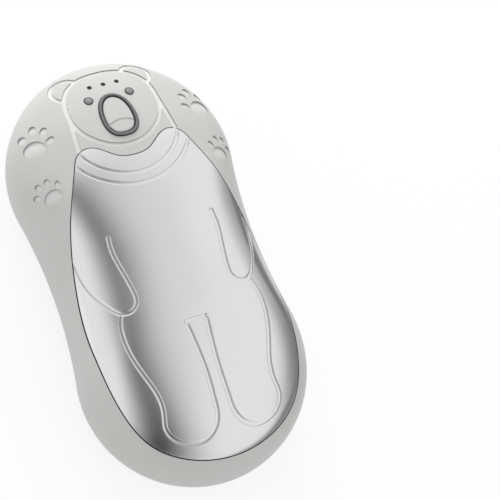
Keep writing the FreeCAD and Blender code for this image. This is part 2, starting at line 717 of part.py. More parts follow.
def board_screws():
    base = BOARD_TOP - BOARD_THICKNESS
    screws = []
    for x in (-BOARD_BOSS_X, BOARD_BOSS_X):
        head_base = base - BOARD_SCREW_HEAD_HEIGHT
        head = cylinder(x, BOARD_BOSS_Y, head_base, BOARD_SCREW_HEAD_RADIUS, BOARD_SCREW_HEAD_HEIGHT)
        screws.append(head.fuse(cylinder(x, BOARD_BOSS_Y, base, BOARD_SCREW_RADIUS, BOARD_SCREW_LENGTH)))
    return Part.makeCompound(screws)


def case_screws():
    screws = []
    for x in (-CASE_SCREW_X, CASE_SCREW_X):
        head = cylinder(x, CASE_SCREW_Y, CASE_SEAT, CASE_HEAD_RADIUS, CASE_HEAD_HEIGHT)
        shank = cylinder(x, CASE_SCREW_Y, CASE_SEAT - CASE_SCREW_LENGTH, CASE_SCREW_RADIUS, CASE_SCREW_LENGTH)
        screws.append(head.fuse(shank))
    return Part.makeCompound(screws)


def controller_chip():
    return box(CHIP_X, CHIP_Y, BOARD_TOP, CHIP_SIDE, CHIP_SIDE, CHIP_HEIGHT)


def power_coil():
    return rounded_box(COIL_X, COIL_Y, BOARD_TOP, COIL_SIDE, COIL_SIDE, COIL_HEIGHT, COIL_CHAMFER)


def port_shell():
    start = PORT_FACE - PORT_LENGTH
    return port_slug(0.0, start, PORT_LENGTH).cut(port_slug(-PORT_WALL, start, PORT_LENGTH))


def port_tongue():
    start = PORT_FACE - PORT_LENGTH
    block = port_slug(-PORT_WALL, start, PORT_BLOCK)
    base = PORT_Z - PORT_TONGUE_THICKNESS / 2
    y = start + PORT_BLOCK + PORT_TONGUE_LENGTH / 2
    return block.fuse(box(0.0, y, base, PORT_TONGUE_WIDTH, PORT_TONGUE_LENGTH, PORT_TONGUE_THICKNESS))


def switch_body():
    body = box(0.0, NOSE_Y, BOARD_TOP, SWITCH_SIDE, SWITCH_SIDE, SWITCH_HEIGHT)
    floor = BOARD_TOP + BUTTON_TRAVEL
    return body.cut(cylinder(0.0, NOSE_Y, floor, PLUNGER_RADIUS + PLUNGER_GAP, SWITCH_HEIGHT))


def switch_plunger():
    base = BOARD_TOP + 2 * BUTTON_TRAVEL + PLUNGER_GAP
    return cylinder(0.0, NOSE_Y, base, PLUNGER_RADIUS, FLANGE_BOTTOM - base)


def nose_ring():
    base = BODY_TOP - RING_FLOOR_DROP
    outer = prism(nose_wire(-RING_FIT, base), RING_FLOOR_DROP)
    inner = prism(nose_wire(-RING_WIDTH, base), RING_FLOOR_DROP)
    return outer.cut(inner).common(dome(RING_SINK))


def nose_button():
    height = BODY_TOP + BUTTON_PROUD - FLANGE_TOP
    cap = prism(nose_wire(-RING_WIDTH - BUTTON_GAP, FLANGE_TOP), height).common(dome(-BUTTON_PROUD))
    mouth = ring(0.0, NOSE_Y - MOUTH_DROP - MOUTH_RADIUS, FLANGE_TOP, MOUTH_RADIUS, MOUTH_WIDTH, height)
    cap = cap.cut(mouth.cut(dome(MOUTH_DEPTH - BUTTON_PROUD)))
    flange = prism(nose_wire(-RING_WIDTH + FLANGE_WIDTH, FLANGE_BOTTOM), FLANGE_THICKNESS)
    return cap.fuse(flange)


def eye(x):
    plug = cylinder(x, EYE_Y, BACK_HEIGHT, EYE_RADIUS - EYE_FIT, FRONT_HEIGHT)
    return plug.common(dome(EYE_SINK)).cut(dome(EYE_DEPTH))


def light_guide():
    places = (-LIGHT_PITCH, 0.0, LIGHT_PITCH)
    base = BOARD_TOP + LED_HEIGHT + LIGHT_FIT
    pins = [cylinder(x, LIGHT_Y, base, LIGHT_RADIUS - LIGHT_FIT, BODY_TOP - base) for x in places]
    length = 2 * LIGHT_PITCH + LIGHT_BRIDGE_WIDTH
    size = (length, LIGHT_BRIDGE_WIDTH, LIGHT_BRIDGE_THICKNESS)
    bridge = rounded_box(0.0, LIGHT_Y, BRIDGE_BASE, *size, LIGHT_RADIUS)
    return bridge.fuse(pins).common(dome(LIGHT_SINK))


def indicator_leds():
    places = (-LIGHT_PITCH, 0.0, LIGHT_PITCH)
    return Part.makeCompound([box(x, LIGHT_Y, BOARD_TOP, LED_WIDTH, LED_LENGTH, LED_HEIGHT) for x in places])


PIECES = {
    "outer_shell": outer_shell,
    "back_cover": back_cover,
    "front_plate": front_plate,
    "front_plate_bond": front_plate_bond,
    "front_heater_film": front_heater_film,
    "rear_plate": rear_plate,
    "rear_plate_bond": rear_plate_bond,
    "rear_heater_film": rear_heater_film,
    "front_heat_shield": lambda: shield(CELL_TOP),
    "rear_heat_shield": lambda: shield(COVER_INNER),
    "battery_tray": battery_tray,
    "front_cell": lambda: cell(FRONT_CELL_BASE),
    "rear_cell": lambda: cell(CELL_BASE),
    "cell_spacer": cell_spacer,
    "safety_board": safety_board,
    "positive_lead": lambda: battery_lead(LEAD_X),
    "negative_lead": lambda: battery_lead(-LEAD_X),
    "front_heater_leads": front_heater_leads,
    "rear_heater_leads": rear_heater_leads,
    "control_board": control_board,
    "controller_chip": controller_chip,
    "power_coil": power_coil,
    "port_shell": port_shell,
    "port_tongue": port_tongue,
    "switch_body": switch_body,
    "switch_plunger": switch_plunger,
    "nose_button": nose_button,
    "nose_ring": nose_ring,
    "left_eye": lambda: eye(-EYE_X),
    "right_eye": lambda: eye(EYE_X),
    "light_guide": light_guide,
    "indicator_leds": indicator_leds,
    "case_screws": case_screws,
    "board_screws": board_screws,
}

os.makedirs("parts", exist_ok=True)
for name, make in PIECES.items():
    shape = make()
    box_size = shape.BoundBox
    print(name, len(shape.Solids), "solids", round(shape.Volume, 2), "mm3", shape.isValid(),
          [round(value, 2) for value in (box_size.XLength, box_size.YLength, box_size.ZMin, box_size.ZMax)])
    shape.exportStep("parts/" + name + ".step")
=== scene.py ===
# %% [markdown]
# # A rechargeable hand warmer
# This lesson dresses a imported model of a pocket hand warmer. The model gives every piece its place and its
# motion. Here the pieces that show get fine surfaces worked out with numpy, and every piece gets a finish
# made of shader nodes.

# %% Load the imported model
import json
import math

import bmesh
import bpy
import numpy as np
from mathutils import Matrix, Vector


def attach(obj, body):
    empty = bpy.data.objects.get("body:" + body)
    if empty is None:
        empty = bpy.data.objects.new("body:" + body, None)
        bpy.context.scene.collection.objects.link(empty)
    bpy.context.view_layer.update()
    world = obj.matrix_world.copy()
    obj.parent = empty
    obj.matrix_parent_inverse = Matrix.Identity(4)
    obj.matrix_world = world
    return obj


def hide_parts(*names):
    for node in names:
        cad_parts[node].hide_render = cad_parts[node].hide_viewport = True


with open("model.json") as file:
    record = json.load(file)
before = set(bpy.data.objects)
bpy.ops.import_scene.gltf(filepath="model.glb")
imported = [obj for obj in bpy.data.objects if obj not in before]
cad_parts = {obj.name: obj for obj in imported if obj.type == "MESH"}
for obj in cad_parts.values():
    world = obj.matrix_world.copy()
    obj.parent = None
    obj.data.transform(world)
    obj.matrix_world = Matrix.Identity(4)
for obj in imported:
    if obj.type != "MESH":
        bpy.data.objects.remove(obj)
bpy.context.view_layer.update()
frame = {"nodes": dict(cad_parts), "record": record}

MM = 0.001
scene = bpy.context.scene
scene.view_settings.view_transform = "Standard"

# %% [markdown]
# ## Camera
# The warmer lies on its back and the camera looks down on it from its lower left. The place and the turn of
# the camera come from matching the outline, the seam of the plate and the pairs of eyes and paw prints,
# which are alike on both sides.

# %% Camera at the photograph's viewing angle
PHOTO_PIXELS = 500
FOCAL_PIXELS = 1827.2
SENSOR_WIDTH = 36.0
NEAR_CLIP = 0.01
CAMERA_POINT = Vector((-140.66, -117.05, 467.15)) * MM
CAMERA_RIGHT = Vector((0.9054, -0.3459, 0.2461)).normalized()
CAMERA_UP = Vector((0.2592, 0.9096, 0.3248))


def place_camera():
    """Camera matrix: columns right, up and back, made square to each other, then the camera's point."""
    back = CAMERA_RIGHT.cross(CAMERA_UP).normalized()
    up = back.cross(CAMERA_RIGHT)
    data = bpy.data.cameras.new("photo_camera")
    data.sensor_width = SENSOR_WIDTH
    data.lens = SENSOR_WIDTH * FOCAL_PIXELS / PHOTO_PIXELS
    data.clip_start = NEAR_CLIP
    camera = bpy.data.objects.new("photo_camera", data)
    turn = Matrix((CAMERA_RIGHT, up, back)).transposed().to_4x4()
    camera.matrix_world = Matrix.Translation(CAMERA_POINT) @ turn
    scene.collection.objects.link(camera)
    scene.camera = camera
    return camera


camera = place_camera()
print("lens", round(camera.data.lens, 2), "mm")

# %% [markdown]
# ## Shader sums in Python
# A finish is a net of nodes. Writing each node out by hand hides the idea, so one small class wraps an
# output socket: plus, minus, times and divide between such wires add Math nodes, and one method adds any
# other node.


# %% Wires and nodes
class Wire:
    """An output socket of a node. Sums of wires and numbers become Math nodes."""

    def __init__(self, socket):
        self.socket = socket

    @staticmethod
    def node(tree, kind, settings, inlets, outlet=0):
        """Adds a shader node: its settings, then the values or wires of its inlets. Gives one outlet."""
        made = tree.nodes.new("ShaderNode" + kind)
        for name, value in settings.items():
            setattr(made, name, value)
        for name, value in inlets.items():
            if isinstance(value, Wire):
                tree.links.new(value.socket, made.inputs[name])
            else:
                made.inputs[name].default_value = value
        return Wire(made.outputs[outlet]) if len(made.outputs) else made

    def math(self, operation, *others):
        """Math node of this wire and of other wires or numbers."""
        values = dict(enumerate((self, *others)))
        return Wire.node(self.socket.id_data, "Math", {"operation": operation}, values)

    def __add__(self, other):
        return self.math("ADD", other)

    def __sub__(self, other):
        return self.math("SUBTRACT", other)

    def __rsub__(self, other):
        return Wire.node(self.socket.id_data, "Math", {"operation": "SUBTRACT"}, {0: other, 1: self})

    def __mul__(self, other):
        return self.math("MULTIPLY", other)

    def __truediv__(self, other):
        return self.math("DIVIDE", other)

    __radd__ = __add__
    __rmul__ = __mul__

    def between(self, low, high):
        """0 at low, 1 at high, and a smooth rise from one to the other."""
        settings = {"interpolation_type": "SMOOTHSTEP"}
        inlets = {"Value": self, "From Min": low, "From Max": high}
        return Wire.node(self.socket.id_data, "MapRange", settings, inlets)


def start_finish(name):
    """Empty material, its node tree and the piece's own coordinates."""
    material = bpy.data.materials.new(name)
    material.use_nodes = True
    tree = material.node_tree
    tree.nodes.clear()
    return material, tree, Wire.node(tree, "TexCoord", {}, {}, "Object")


print("wires ready")

# %% [markdown]
# ## Light
# The photograph was lit by a white tent that is brightest at the head end. The metal plate also mirrors a
# dark upright gap in the tent, as a band along its left side, and the dim right side of the tent, as a
# narrow band at its right edge. The world is that tent: white for the camera, with the gap and the dim side
# for mirror rays, and a plain level for the light that it sheds. One large lamp at the head end adds the
# slope of light.

# %% White tent with a dark gap
WHITE = (1.0, 1.0, 1.0, 1.0)
TENT_LIGHT = 0.70
TENT_SEEN = 0.925
GAP_MIDDLE = -0.25
GAP_BEND = 0.45
GAP_LEFT = (0.56, 0.60)
GAP_RIGHT = (0.54, 0.82)
GAP_TURN = 0.3
GAP_BLEND = 0.05
GAP_DEPTH = (0.78, 0.20)
GAP_END = (0.42, 0.60)
RIGHT_EDGE = (0.76, 1.06)
RIGHT_DEPTH = 0.78
RIGHT_LEAN = 0.12
HEAD_EDGE = (0.45, 0.80)
HEAD_GLOW = 0.3


def seen_by_eye(tree):
    """Two wires: 1 for rays from the camera and for mirror and glass rays, and 1 for mirror rays alone."""
    path = Wire.node(tree, "LightPath", {}, {}).socket.node.outputs
    names = ("Is Camera Ray", "Is Glossy Ray", "Is Transmission Ray")
    direct, mirrored, through = (Wire(path[name]) for name in names)
    return direct.math("MAXIMUM", mirrored.math("MAXIMUM", through)), mirrored


def hang_tent():
    """Brightness by direction, for mirror rays: a dip across the line x = middle - bend * y ^ 2, a dim
    right side and a bright head end, capped at white. The dip fades smoothly with the distance from that
    line. Its width differs left and right of the line, and grows with a square of y.
    """
    world = bpy.data.worlds.new("white_tent")
    world.use_nodes = True
    tree = world.node_tree
    tree.nodes.clear()
    coordinates = Wire.node(tree, "TexCoord", {}, {}, "Generated")
    parts = Wire.node(tree, "SeparateXYZ", {}, {"Vector": coordinates}).socket.node.outputs
    x, y = Wire(parts["X"]), Wire(parts["Y"])
    off = x + y * y * GAP_BEND - GAP_MIDDLE
    turned = y.math("MINIMUM", GAP_TURN) + GAP_TURN
    left = GAP_LEFT[0] + GAP_LEFT[1] * (y * y)
    right = GAP_RIGHT[0] + GAP_RIGHT[1] * (turned * turned)
    off = off / (left + (right - left) * off.between(-GAP_BLEND, GAP_BLEND))
    dip = (1.0 - off.math("ABSOLUTE").between(0.0, 1.0)) * (1.0 - y.between(*GAP_END))
    dip = (GAP_DEPTH[0] - GAP_DEPTH[1] * y) * dip
    dim = (x - RIGHT_LEAN * y).between(*RIGHT_EDGE) * RIGHT_DEPTH
    shown, mirrored = seen_by_eye(tree)
    mirror = TENT_SEEN * (1.0 - dip) * (1.0 - dim) + y.between(*HEAD_EDGE) * HEAD_GLOW
    mirror = mirror.math("MINIMUM", 1.0)
    level = mirrored * mirror + (1.0 - mirrored) * (shown + (1.0 - shown) * TENT_LIGHT)
    sky = Wire.node(tree, "Background", {}, {"Color": WHITE, "Strength": level})
    Wire.node(tree, "OutputWorld", {}, {"Surface": sky})
    scene.world = world


hang_tent()
print("tent light", TENT_LIGHT)

# %% Lamp at the head end
LAMP_POINT = Vector((0.11, 0.68, 0.13))
LAMP_SIDE = 0.5
LAMP_LEVEL = 0.72


def hang_lamp():
    """A lamp of power pi ^ 2 * level * distance ^ 2 lights a facing surface at that level."""
    data = bpy.data.lights.new("head_lamp", "AREA")
    data.shape = "SQUARE"
    data.size = LAMP_SIDE
    data.energy = LAMP_LEVEL * math.pi ** 2 * LAMP_POINT.length_squared
    lamp = bpy.data.objects.new("head_lamp", data)
    turn = LAMP_POINT.to_track_quat("Z", "Y").to_matrix().to_4x4()
    lamp.matrix_world = Matrix.Translation(LAMP_POINT) @ turn
    lamp.visible_glossy = False
    scene.collection.objects.link(lamp)


hang_lamp()
print("lamp", LAMP_SIDE, "m wide")

# %% [markdown]
# ## Floor
# The warmer lies on white paper. Paper that is only lit comes out grey, and paper that only glows has no
# shadow, so what the camera sees of it is part glow and part lit paint.

# %% White paper floor
FLOOR_SIDE = 6.0
FLOOR_WHITE = 0.9
FLOOR_GLOW = 0.72
FLOOR_LEVEL = 1.07
FLOOR_DIM = (0.03, 0.10)


def lay_floor():
    """A flat square whose seen colour is glow * share + lit paint * (1 - share).

    Mirror rays see it dim on the right, as they do the tent.
    """
    half = FLOOR_SIDE / 2
    mesh = bpy.data.meshes.new("floor")
    corners = [(-half, -half, 0), (half, -half, 0), (half, half, 0), (-half, half, 0)]
    mesh.from_pydata(corners, [], [(0, 1, 2, 3)])
    material, tree, place = start_finish("floor_paper")
    pale = (FLOOR_WHITE, FLOOR_WHITE, FLOOR_WHITE, 1.0)
    paper = Wire.node(tree, "BsdfDiffuse", {}, {"Color": pale})
    white = Wire.node(tree, "BsdfDiffuse", {}, {"Color": WHITE})
    glow = Wire.node(tree, "Emission", {}, {"Color": WHITE, "Strength": FLOOR_LEVEL})
    seen = Wire.node(tree, "MixShader", {}, {0: FLOOR_GLOW, 1: white, 2: glow})
    shown, mirrored = seen_by_eye(tree)
    x = Wire.node(tree, "SeparateXYZ", {}, {"Vector": place}, "X")
    dark = Wire.node(tree, "Emission", {}, {"Color": WHITE, "Strength": 1.0 - RIGHT_DEPTH})
    both = Wire.node(tree, "MixShader", {}, {0: shown, 1: paper, 2: seen})
    dimmed = mirrored * x.between(*FLOOR_DIM)
    both = Wire.node(tree, "MixShader", {}, {0: dimmed, 1: both, 2: dark})
    Wire.node(tree, "OutputMaterial", {}, {"Surface": both})
    mesh.materials.append(material)
    floor = bpy.data.objects.new("floor", mesh)
    scene.collection.objects.link(floor)


lay_floor()
print("floor", FLOOR_SIDE, "m")

# %% [markdown]
# ## The outline and the dome
# Seen from the front the body is two round lobes joined by two hollow waist arcs. Along a ray from the
# middle, the share of the way to that outline, here called g, is all that the dome needs: its height is a
# rounded profile of g.

# %% Sizes of the body, in millimetres
LOBE_RADIUS = 30.8
LOBE_Y = 29.2
WAIST_RADIUS = 134.469
WAIST_X = 162.669
FRONT_HEIGHT = 20.496
BACK_HEIGHT = 9.5
SIDE_POWER = 2.8
CROWN_POWER = 2.7


def outline_reach(across, along, inset=0.0):
    """Distance from the middle to the outline along unit directions.

    It is the far crossing of the ray with a lobe circle, or the near crossing with a waist circle,
    whichever arc the direction meets. An inset shrinks the lobes and swells the waist circles.
    """
    across, along = np.abs(across), np.abs(along)
    lobe, waist = LOBE_RADIUS - inset, WAIST_RADIUS + inset
    middle = along * LOBE_Y
    far = middle + np.sqrt(np.maximum(middle ** 2 - LOBE_Y ** 2 + lobe ** 2, 0.0))
    middle = across * WAIST_X
    near = middle - np.sqrt(np.maximum(middle ** 2 - WAIST_X ** 2 + waist ** 2, 0.0))
    share = lobe / (lobe + waist)
    return np.where(along * WAIST_X * share > across * LOBE_Y * (1 - share), far, near)


def dome_share(x, y, inset=0.0):
    """Share g of the way from the middle to the outline."""
    length = np.maximum(np.hypot(x, y), 1e-9)
    return length / outline_reach(x / length, y / length, inset)


def dome_height(x, y, inset=0.0):
    """Height of the dome: back height + front height * (1 - g ^ side power) ^ (1 / crown power)."""
    fall = np.maximum(1.0 - dome_share(x, y, inset) ** SIDE_POWER, 0.0)
    return BACK_HEIGHT + (FRONT_HEIGHT - inset) * fall ** (1 / CROWN_POWER)


def dome_normal(x, y, z):
    """Outward direction: slope of g ^ side power + h ^ crown power, with h = share of the front height."""
    step = 0.01
    g = dome_share(x, y)
    h = np.clip((z - BACK_HEIGHT) / FRONT_HEIGHT, 0.0, 1.0)
    pull = SIDE_POWER * g ** (SIDE_POWER - 1)
    slope = np.stack([
        pull * (dome_share(x + step, y) - dome_share(x - step, y)) / (2 * step),
        pull * (dome_share(x, y + step) - dome_share(x, y - step)) / (2 * step),
        CROWN_POWER * h ** (CROWN_POWER - 1) / FRONT_HEIGHT], -1)
    return slope / np.linalg.norm(slope, axis=-1, keepdims=True)


print("top of the dome", float(dome_height(0.0, 0.0)), "mm")

# %% [markdown]
# ## Lines and meshes
# The seam of the plate, the nose and the drawn figure are smooth lines through a few points. A cubic spline
# gives them, and a mesh is then made from rings of points: each ring joins the next with four-cornered
# faces.

# %% Smooth lines
SPAN_STEPS = 40


def smooth_line(points, count, closed):
    """Cubic spline through points, then count points along it at even steps.

    Chord lengths are the parameter. The second slopes solve one linear system: at each point, the slopes
    of the spans on both sides agree. An open line has no second slope at its ends.
    """
    points = np.array(points, float)
    after = np.roll(points, -1, 0)
    chord = np.linalg.norm(after - points, axis=1)
    before = np.roll(chord, 1)
    size = len(points)
    system = np.diag(2 * (before + chord))
    rows = np.arange(size)
    system[rows, (rows + 1) % size] += chord
    system[rows, (rows - 1) % size] += before
    change = (after - points) / chord[:, None]
    right = 6 * (change - np.roll(change, 1, 0))
    if not closed:
        for end in (0, size - 1):
            system[end] = np.eye(size)[end]
            right[end] = 0.0
    bend = np.linalg.solve(system, right)
    spans = size if closed else size - 1
    u = np.linspace(0.0, 1.0, SPAN_STEPS, endpoint=False)[None, :, None]
    h2 = (chord ** 2)[:, None, None] / 6
    line = (1 - u) * points[:, None] + u * after[:, None]
    next_bend = np.roll(bend, -1, 0)
    line = line + h2 * (((1 - u) ** 3 - (1 - u)) * bend[:, None] + (u ** 3 - u) * next_bend[:, None])
    line = line[:spans].reshape(-1, 2)
    line = np.vstack([line, points[:1] if closed else points[-1:]])
    length = np.concatenate([[0.0], np.cumsum(np.linalg.norm(np.diff(line, axis=0), axis=1))])
    places = np.linspace(0.0, length[-1], count, endpoint=not closed)
    return np.stack([np.interp(places, length, line[:, 0]), np.interp(places, length, line[:, 1])], -1)


def mirrored_loop(half):
    """Closed outline from its right half, clockwise from the top."""
    return list(half) + [(-x, y) for x, y in reversed(half[1:-1])]


def grown(loop, distance):
    """Closed line moved outwards, to the left of its clockwise direction."""
    along = np.roll(loop, -1, 0) - np.roll(loop, 1, 0)
    along = along / np.linalg.norm(along, axis=1, keepdims=True)
    return loop + distance * np.stack([-along[:, 1], along[:, 0]], -1)


def oval(x, y, half_x, half_y, count, turn=0.0):
    """Ellipse about a point, turned by some degrees, clockwise."""
    angle = -np.linspace(0.0, 2 * np.pi, count, endpoint=False)
    wide, long = half_x * np.cos(angle), half_y * np.sin(angle)
    c, s = math.cos(math.radians(turn)), math.sin(math.radians(turn))
    return np.stack([x + c * wide - s * long, y + s * wide + c * long], -1)


print("smooth lines ready")


# %% Meshes from rings
def flat_ring(loop, z):
    """A plan loop lifted to a height."""
    return np.concatenate([loop, np.broadcast_to(z, loop.shape[:1])[:, None]], 1)


def outward(made):
    """Turns all faces of a closed mesh outwards."""
    work = bmesh.new()
    work.from_mesh(made.data)
    bmesh.ops.recalc_face_normals(work, faces=work.faces)
    if work.calc_volume(signed=True) < 0:
        bmesh.ops.reverse_faces(work, faces=work.faces)
    work.to_mesh(made.data)
    work.free()


def ring_mesh(name, rings, ends_meet=False):
    """Object through rings of points in millimetres: quads between neighbours, lids on the end rings."""
    rings = np.asarray(rings, float)
    index = np.arange(rings.shape[0] * rings.shape[1]).reshape(rings.shape[:2])
    here = index if ends_meet else index[:-1]
    there = np.roll(index, -1, 0) if ends_meet else index[1:]
    quads = np.stack([here, np.roll(here, -1, 1), np.roll(there, -1, 1), there], -1).reshape(-1, 4)
    faces = quads.tolist()
    if not ends_meet:
        faces += [index[0][::-1].tolist(), index[-1].tolist()]
    points = rings.reshape(-1, 3) * MM
    mesh = bpy.data.meshes.new(name)
    mesh.from_pydata(points, [], faces)
    made = bpy.data.objects.new(name, mesh)
    scene.collection.objects.link(made)
    outward(made)
    return made


print("ring meshes ready")

# %% [markdown]
# ## Carving and shading
# Holes, lines and prints are cut from a blank by Boolean modifiers. A cut leaves long thin faces on the
# dome, which a mirror would show, so corners on the dome get the direction that its formula gives. Faces
# that stand upright in a cut are marked, and the finish paints shade on them in the paw prints.


# %% Cuts and smooth shading
def carve(blank, cutters):
    """Takes cutters from a blank and leaves one plain mesh."""
    for cutter in cutters:
        cut = blank.modifiers.new(cutter.name, "BOOLEAN")
        cut.operation = "DIFFERENCE"
        cut.solver = "MANIFOLD"
        cut.object = cutter
    bpy.context.view_layer.update()
    solid = bpy.data.meshes.new_from_object(blank.evaluated_get(bpy.context.evaluated_depsgraph_get()))
    old = blank.data
    blank.modifiers.clear()
    blank.data = solid
    solid.name = blank.name
    bpy.data.meshes.remove(old)
    for cutter in cutters:
        bpy.data.meshes.remove(cutter.data)


def smooth_faces(made, crease=30.0):
    """Smooth shading with creases where faces meet at more than some degrees."""
    made.data.shade_smooth()
    made.data.set_sharp_from_angle(angle=math.radians(crease))


print("carving ready")

# %% Directions and walls on the dome
ON_DOME = 0.06
EVEN_STEPS = 7


def column(items, name, width, kind=float):
    """One property of all items of a mesh, as rows of an array."""
    values = np.zeros(len(items) * width, kind)
    items.foreach_get(name, values)
    return values.reshape(-1, width)


def dome_faces(made, spread, lean=0.97):
    """Gives the corners of faces on the dome the dome's direction, evened out over a spread along Y.

    The arcs of the outline differ in bend where they meet, and a mirror would show that as a kink.
    """
    mesh = made.data
    corner = column(mesh.loops, "vertex_index", 1, np.int32)[:, 0]
    x, y, z = (column(mesh.vertices, "co", 3)[corner] / MM).T
    shifts = np.linspace(-spread, spread, EVEN_STEPS)
    true = sum(dome_normal(x, y + shift, dome_height(x, y + shift)) for shift in shifts)
    true = true / np.linalg.norm(true, axis=1, keepdims=True)
    now = column(mesh.corner_normals, "vector", 3)
    corners = column(mesh.polygons, "loop_total", 1, np.int32)[:, 0]
    face = np.repeat(column(mesh.polygons, "normal", 3), corners, 0)
    near = (np.einsum("ij,ij->i", face, true) > lean) & (np.abs(z - dome_height(x, y)) < ON_DOME)
    mesh.normals_split_custom_set(np.where(near[:, None], true, now))
    return int(near.sum())


def mark_walls(made, steep=0.55, deepest=1.0):
    """Face attribute wall: 1 on faces just under the dome that lean far from its direction, 0 elsewhere."""
    mesh = made.data
    x, y, z = (column(mesh.polygons, "center", 3) / MM).T
    top = dome_height(x, y)
    upright = np.einsum("ij,ij->i", column(mesh.polygons, "normal", 3), dome_normal(x, y, top)) < steep
    wall = upright & (top - z > 0.0) & (top - z < deepest)
    # The finish paints shade on these faces in the paw prints.
    mesh.attributes.new("wall", "FLOAT", "FACE").data.foreach_set("value", wall.astype(np.float32))
    return int(wall.sum())


print("dome directions ready")

# %% [markdown]
# ## Cutters that follow the dome
# A drawn line is a small section carried along the dome, and a print is a loop pushed down into it. Both
# start from the dome's formula, so a cut is as deep at the side of the head as it is on top.

# %% Sections of drawn lines
ABOVE = 1.2
LINE_SHARES = ((1.0, 0.0), (1.0, -0.8), (0.94, -0.97), (0.85, -1.0))
CHANNEL_SHARES = ((1.22, 0.0), (1.10, -0.08), (1.0, -0.30), (0.93, -0.65), (0.84, -0.93), (0.70, -1.0))
CREASE_POINTS = 9


def crease_section(width, depth):
    """Half-round crease: across = half width * cos, down = depth * sin, with upright walls above."""
    angle = np.linspace(0.0, np.pi, CREASE_POINTS)
    low = np.stack([width / 2 * np.cos(angle), -depth * np.sin(angle)], -1)
    return np.vstack([[width / 2, ABOVE], low, [-width / 2, ABOVE]])


def pressed_section(shares, width, depth):
    """Section from shares of its half width and depth, alike on both sides, with upright walls above.

    Head lines have upright walls, and the plate's channels have rounded lips and leaning walls.
    """
    right = [(wide * width / 2, down * depth) for wide, down in shares]
    right = [(right[0][0], ABOVE)] + right
    return np.array(right + [(-x, z) for x, z in reversed(right)])


print("sections ready")

# %% Cutters for lines, prints and holes
END_WIDTH = 0.08
FADE_START = 0.05
PRINT_SHARES = (0.75, 0.4, 0.05)
PRINT_LEAN = (0.53, 0.47)
TOP = BACK_HEIGHT + FRONT_HEIGHT + ABOVE


def groove(name, line, section, closed, fade=(0.0, 0.0)):
    """Cutter: a section carried along a plan line laid on the dome. Open ends narrow to a half circle.

    A fade is the length over which an open end rises to the surface.
    """
    x, y = line.T
    z = dome_height(x, y)
    path = np.stack([x, y, z], -1)
    up = dome_normal(x, y, z)
    along = np.roll(path, -1, 0) - np.roll(path, 1, 0) if closed else np.gradient(path, axis=0)
    side = np.cross(along, up)
    side = side / np.linalg.norm(side, axis=1, keepdims=True)
    share = deep = np.ones(len(line))
    if not closed:
        step = np.linalg.norm(np.diff(path, axis=0), axis=1)
        run = np.concatenate([[0.0], np.cumsum(step)])
        half = section[:, 0].max()
        near = np.clip(np.minimum(run, run[-1] - run) / half, 0.0, 1.0)
        share = np.maximum(np.sqrt(1.0 - (1.0 - near) ** 2), END_WIDTH)
        start, end = (
            np.clip((way + FADE_START) / max(length, FADE_START), 0.0, 1.0)
            for way, length in zip((run, run[-1] - run), fade))
        deep = share * start * end
    across = section[None, :, 0] * share[:, None]
    rise = np.where(section[None, :, 1] > 0, section[None, :, 1], section[None, :, 1] * deep[:, None])
    rings = path[:, None] + across[..., None] * side[:, None] + rise[..., None] * up[:, None]
    return ring_mesh(name, rings, ends_meet=closed)


def press(name, loop, depth):
    """Cutter for a print: a loop carried down from above the dome to a floor that leans.

    The floor's depth runs evenly from almost nothing at the foot end to all of it at the head end.
    """
    middle = loop.mean(0)
    half = np.abs(loop[:, 1] - middle[1]).max()
    levels = [(1.0, False), (1.0, True)] + [(share, True) for share in PRINT_SHARES]
    rings = []
    for share, deep in levels:
        x, y = (middle + share * (loop - middle)).T
        z = dome_height(x, y)
        lean = PRINT_LEAN[0] + PRINT_LEAN[1] * (y - middle[1]) / half
        down = depth * lean if deep else np.full(len(x), -ABOVE)
        rings.append(np.stack([x, y, z], -1) - down[:, None] * dome_normal(x, y, z))
    return ring_mesh(name, rings)


def punch(name, loop, low):
    """Upright cutter from a height to above the dome."""
    return ring_mesh(name, [flat_ring(loop, low), flat_ring(loop, TOP)])


print("cutters ready")

# %% [markdown]
# ## The moulded shell
# One plastic shell wraps the whole side of the warmer, from the seam of the plate round to the rear rim. It
# could be shaped from a subdivided block, but a block has no exact seam to let the plate into. Here one
# profile is carried round the outline, over the dome, down the side, round the rim, up the recess and back
# inside, and holes for the plate, the nose, the eyes and the lights are carved from it.

# %% Sizes of the shell's edges, in millimetres
WALL = 2.2
RIM_WIDTH = 5.0
RIM_LAND = 0.9
RIM_SLOPE = 1.1
RIM_CURVE = ((0.3, 0.12), (0.7, 0.5))
PANEL_DEPTH = 0.9
COVER_THICKNESS = 1.8
SEAT_WIDTH = 1.2
SEAT_THICKNESS = 1.8
CROWN_SHARE = 0.05
AROUND = 420
POINT_SHIFT = 0.28
OUTER_RINGS = 90
RIM_RINGS = 22
INNER_RINGS = 24


def plan_loop(inset, share=1.0):
    """Outline of the body, set in and then scaled, clockwise from the head.

    The angle minus a part of sin(2 * angle) spaces the points more evenly along the long outline.
    """
    angle = np.linspace(0.0, 2 * np.pi, AROUND, endpoint=False)
    angle = angle - POINT_SHIFT * np.sin(2 * angle)
    across, along = np.sin(angle), np.cos(angle)
    reach = outline_reach(across, along, inset)
    return share * np.stack([across * reach, along * reach], -1)


def dome_rings(inset, turns):
    """Rings by turns from rim to crown: share = cos ^ (2 / side power), rise = sin ^ (2 / crown power)."""
    rings = []
    for turn in turns:
        share = math.cos(turn) ** (2 / SIDE_POWER)
        rise = math.sin(turn) ** (2 / CROWN_POWER)
        rings.append(flat_ring(plan_loop(inset, share), BACK_HEIGHT + (FRONT_HEIGHT - inset) * rise))
    return rings


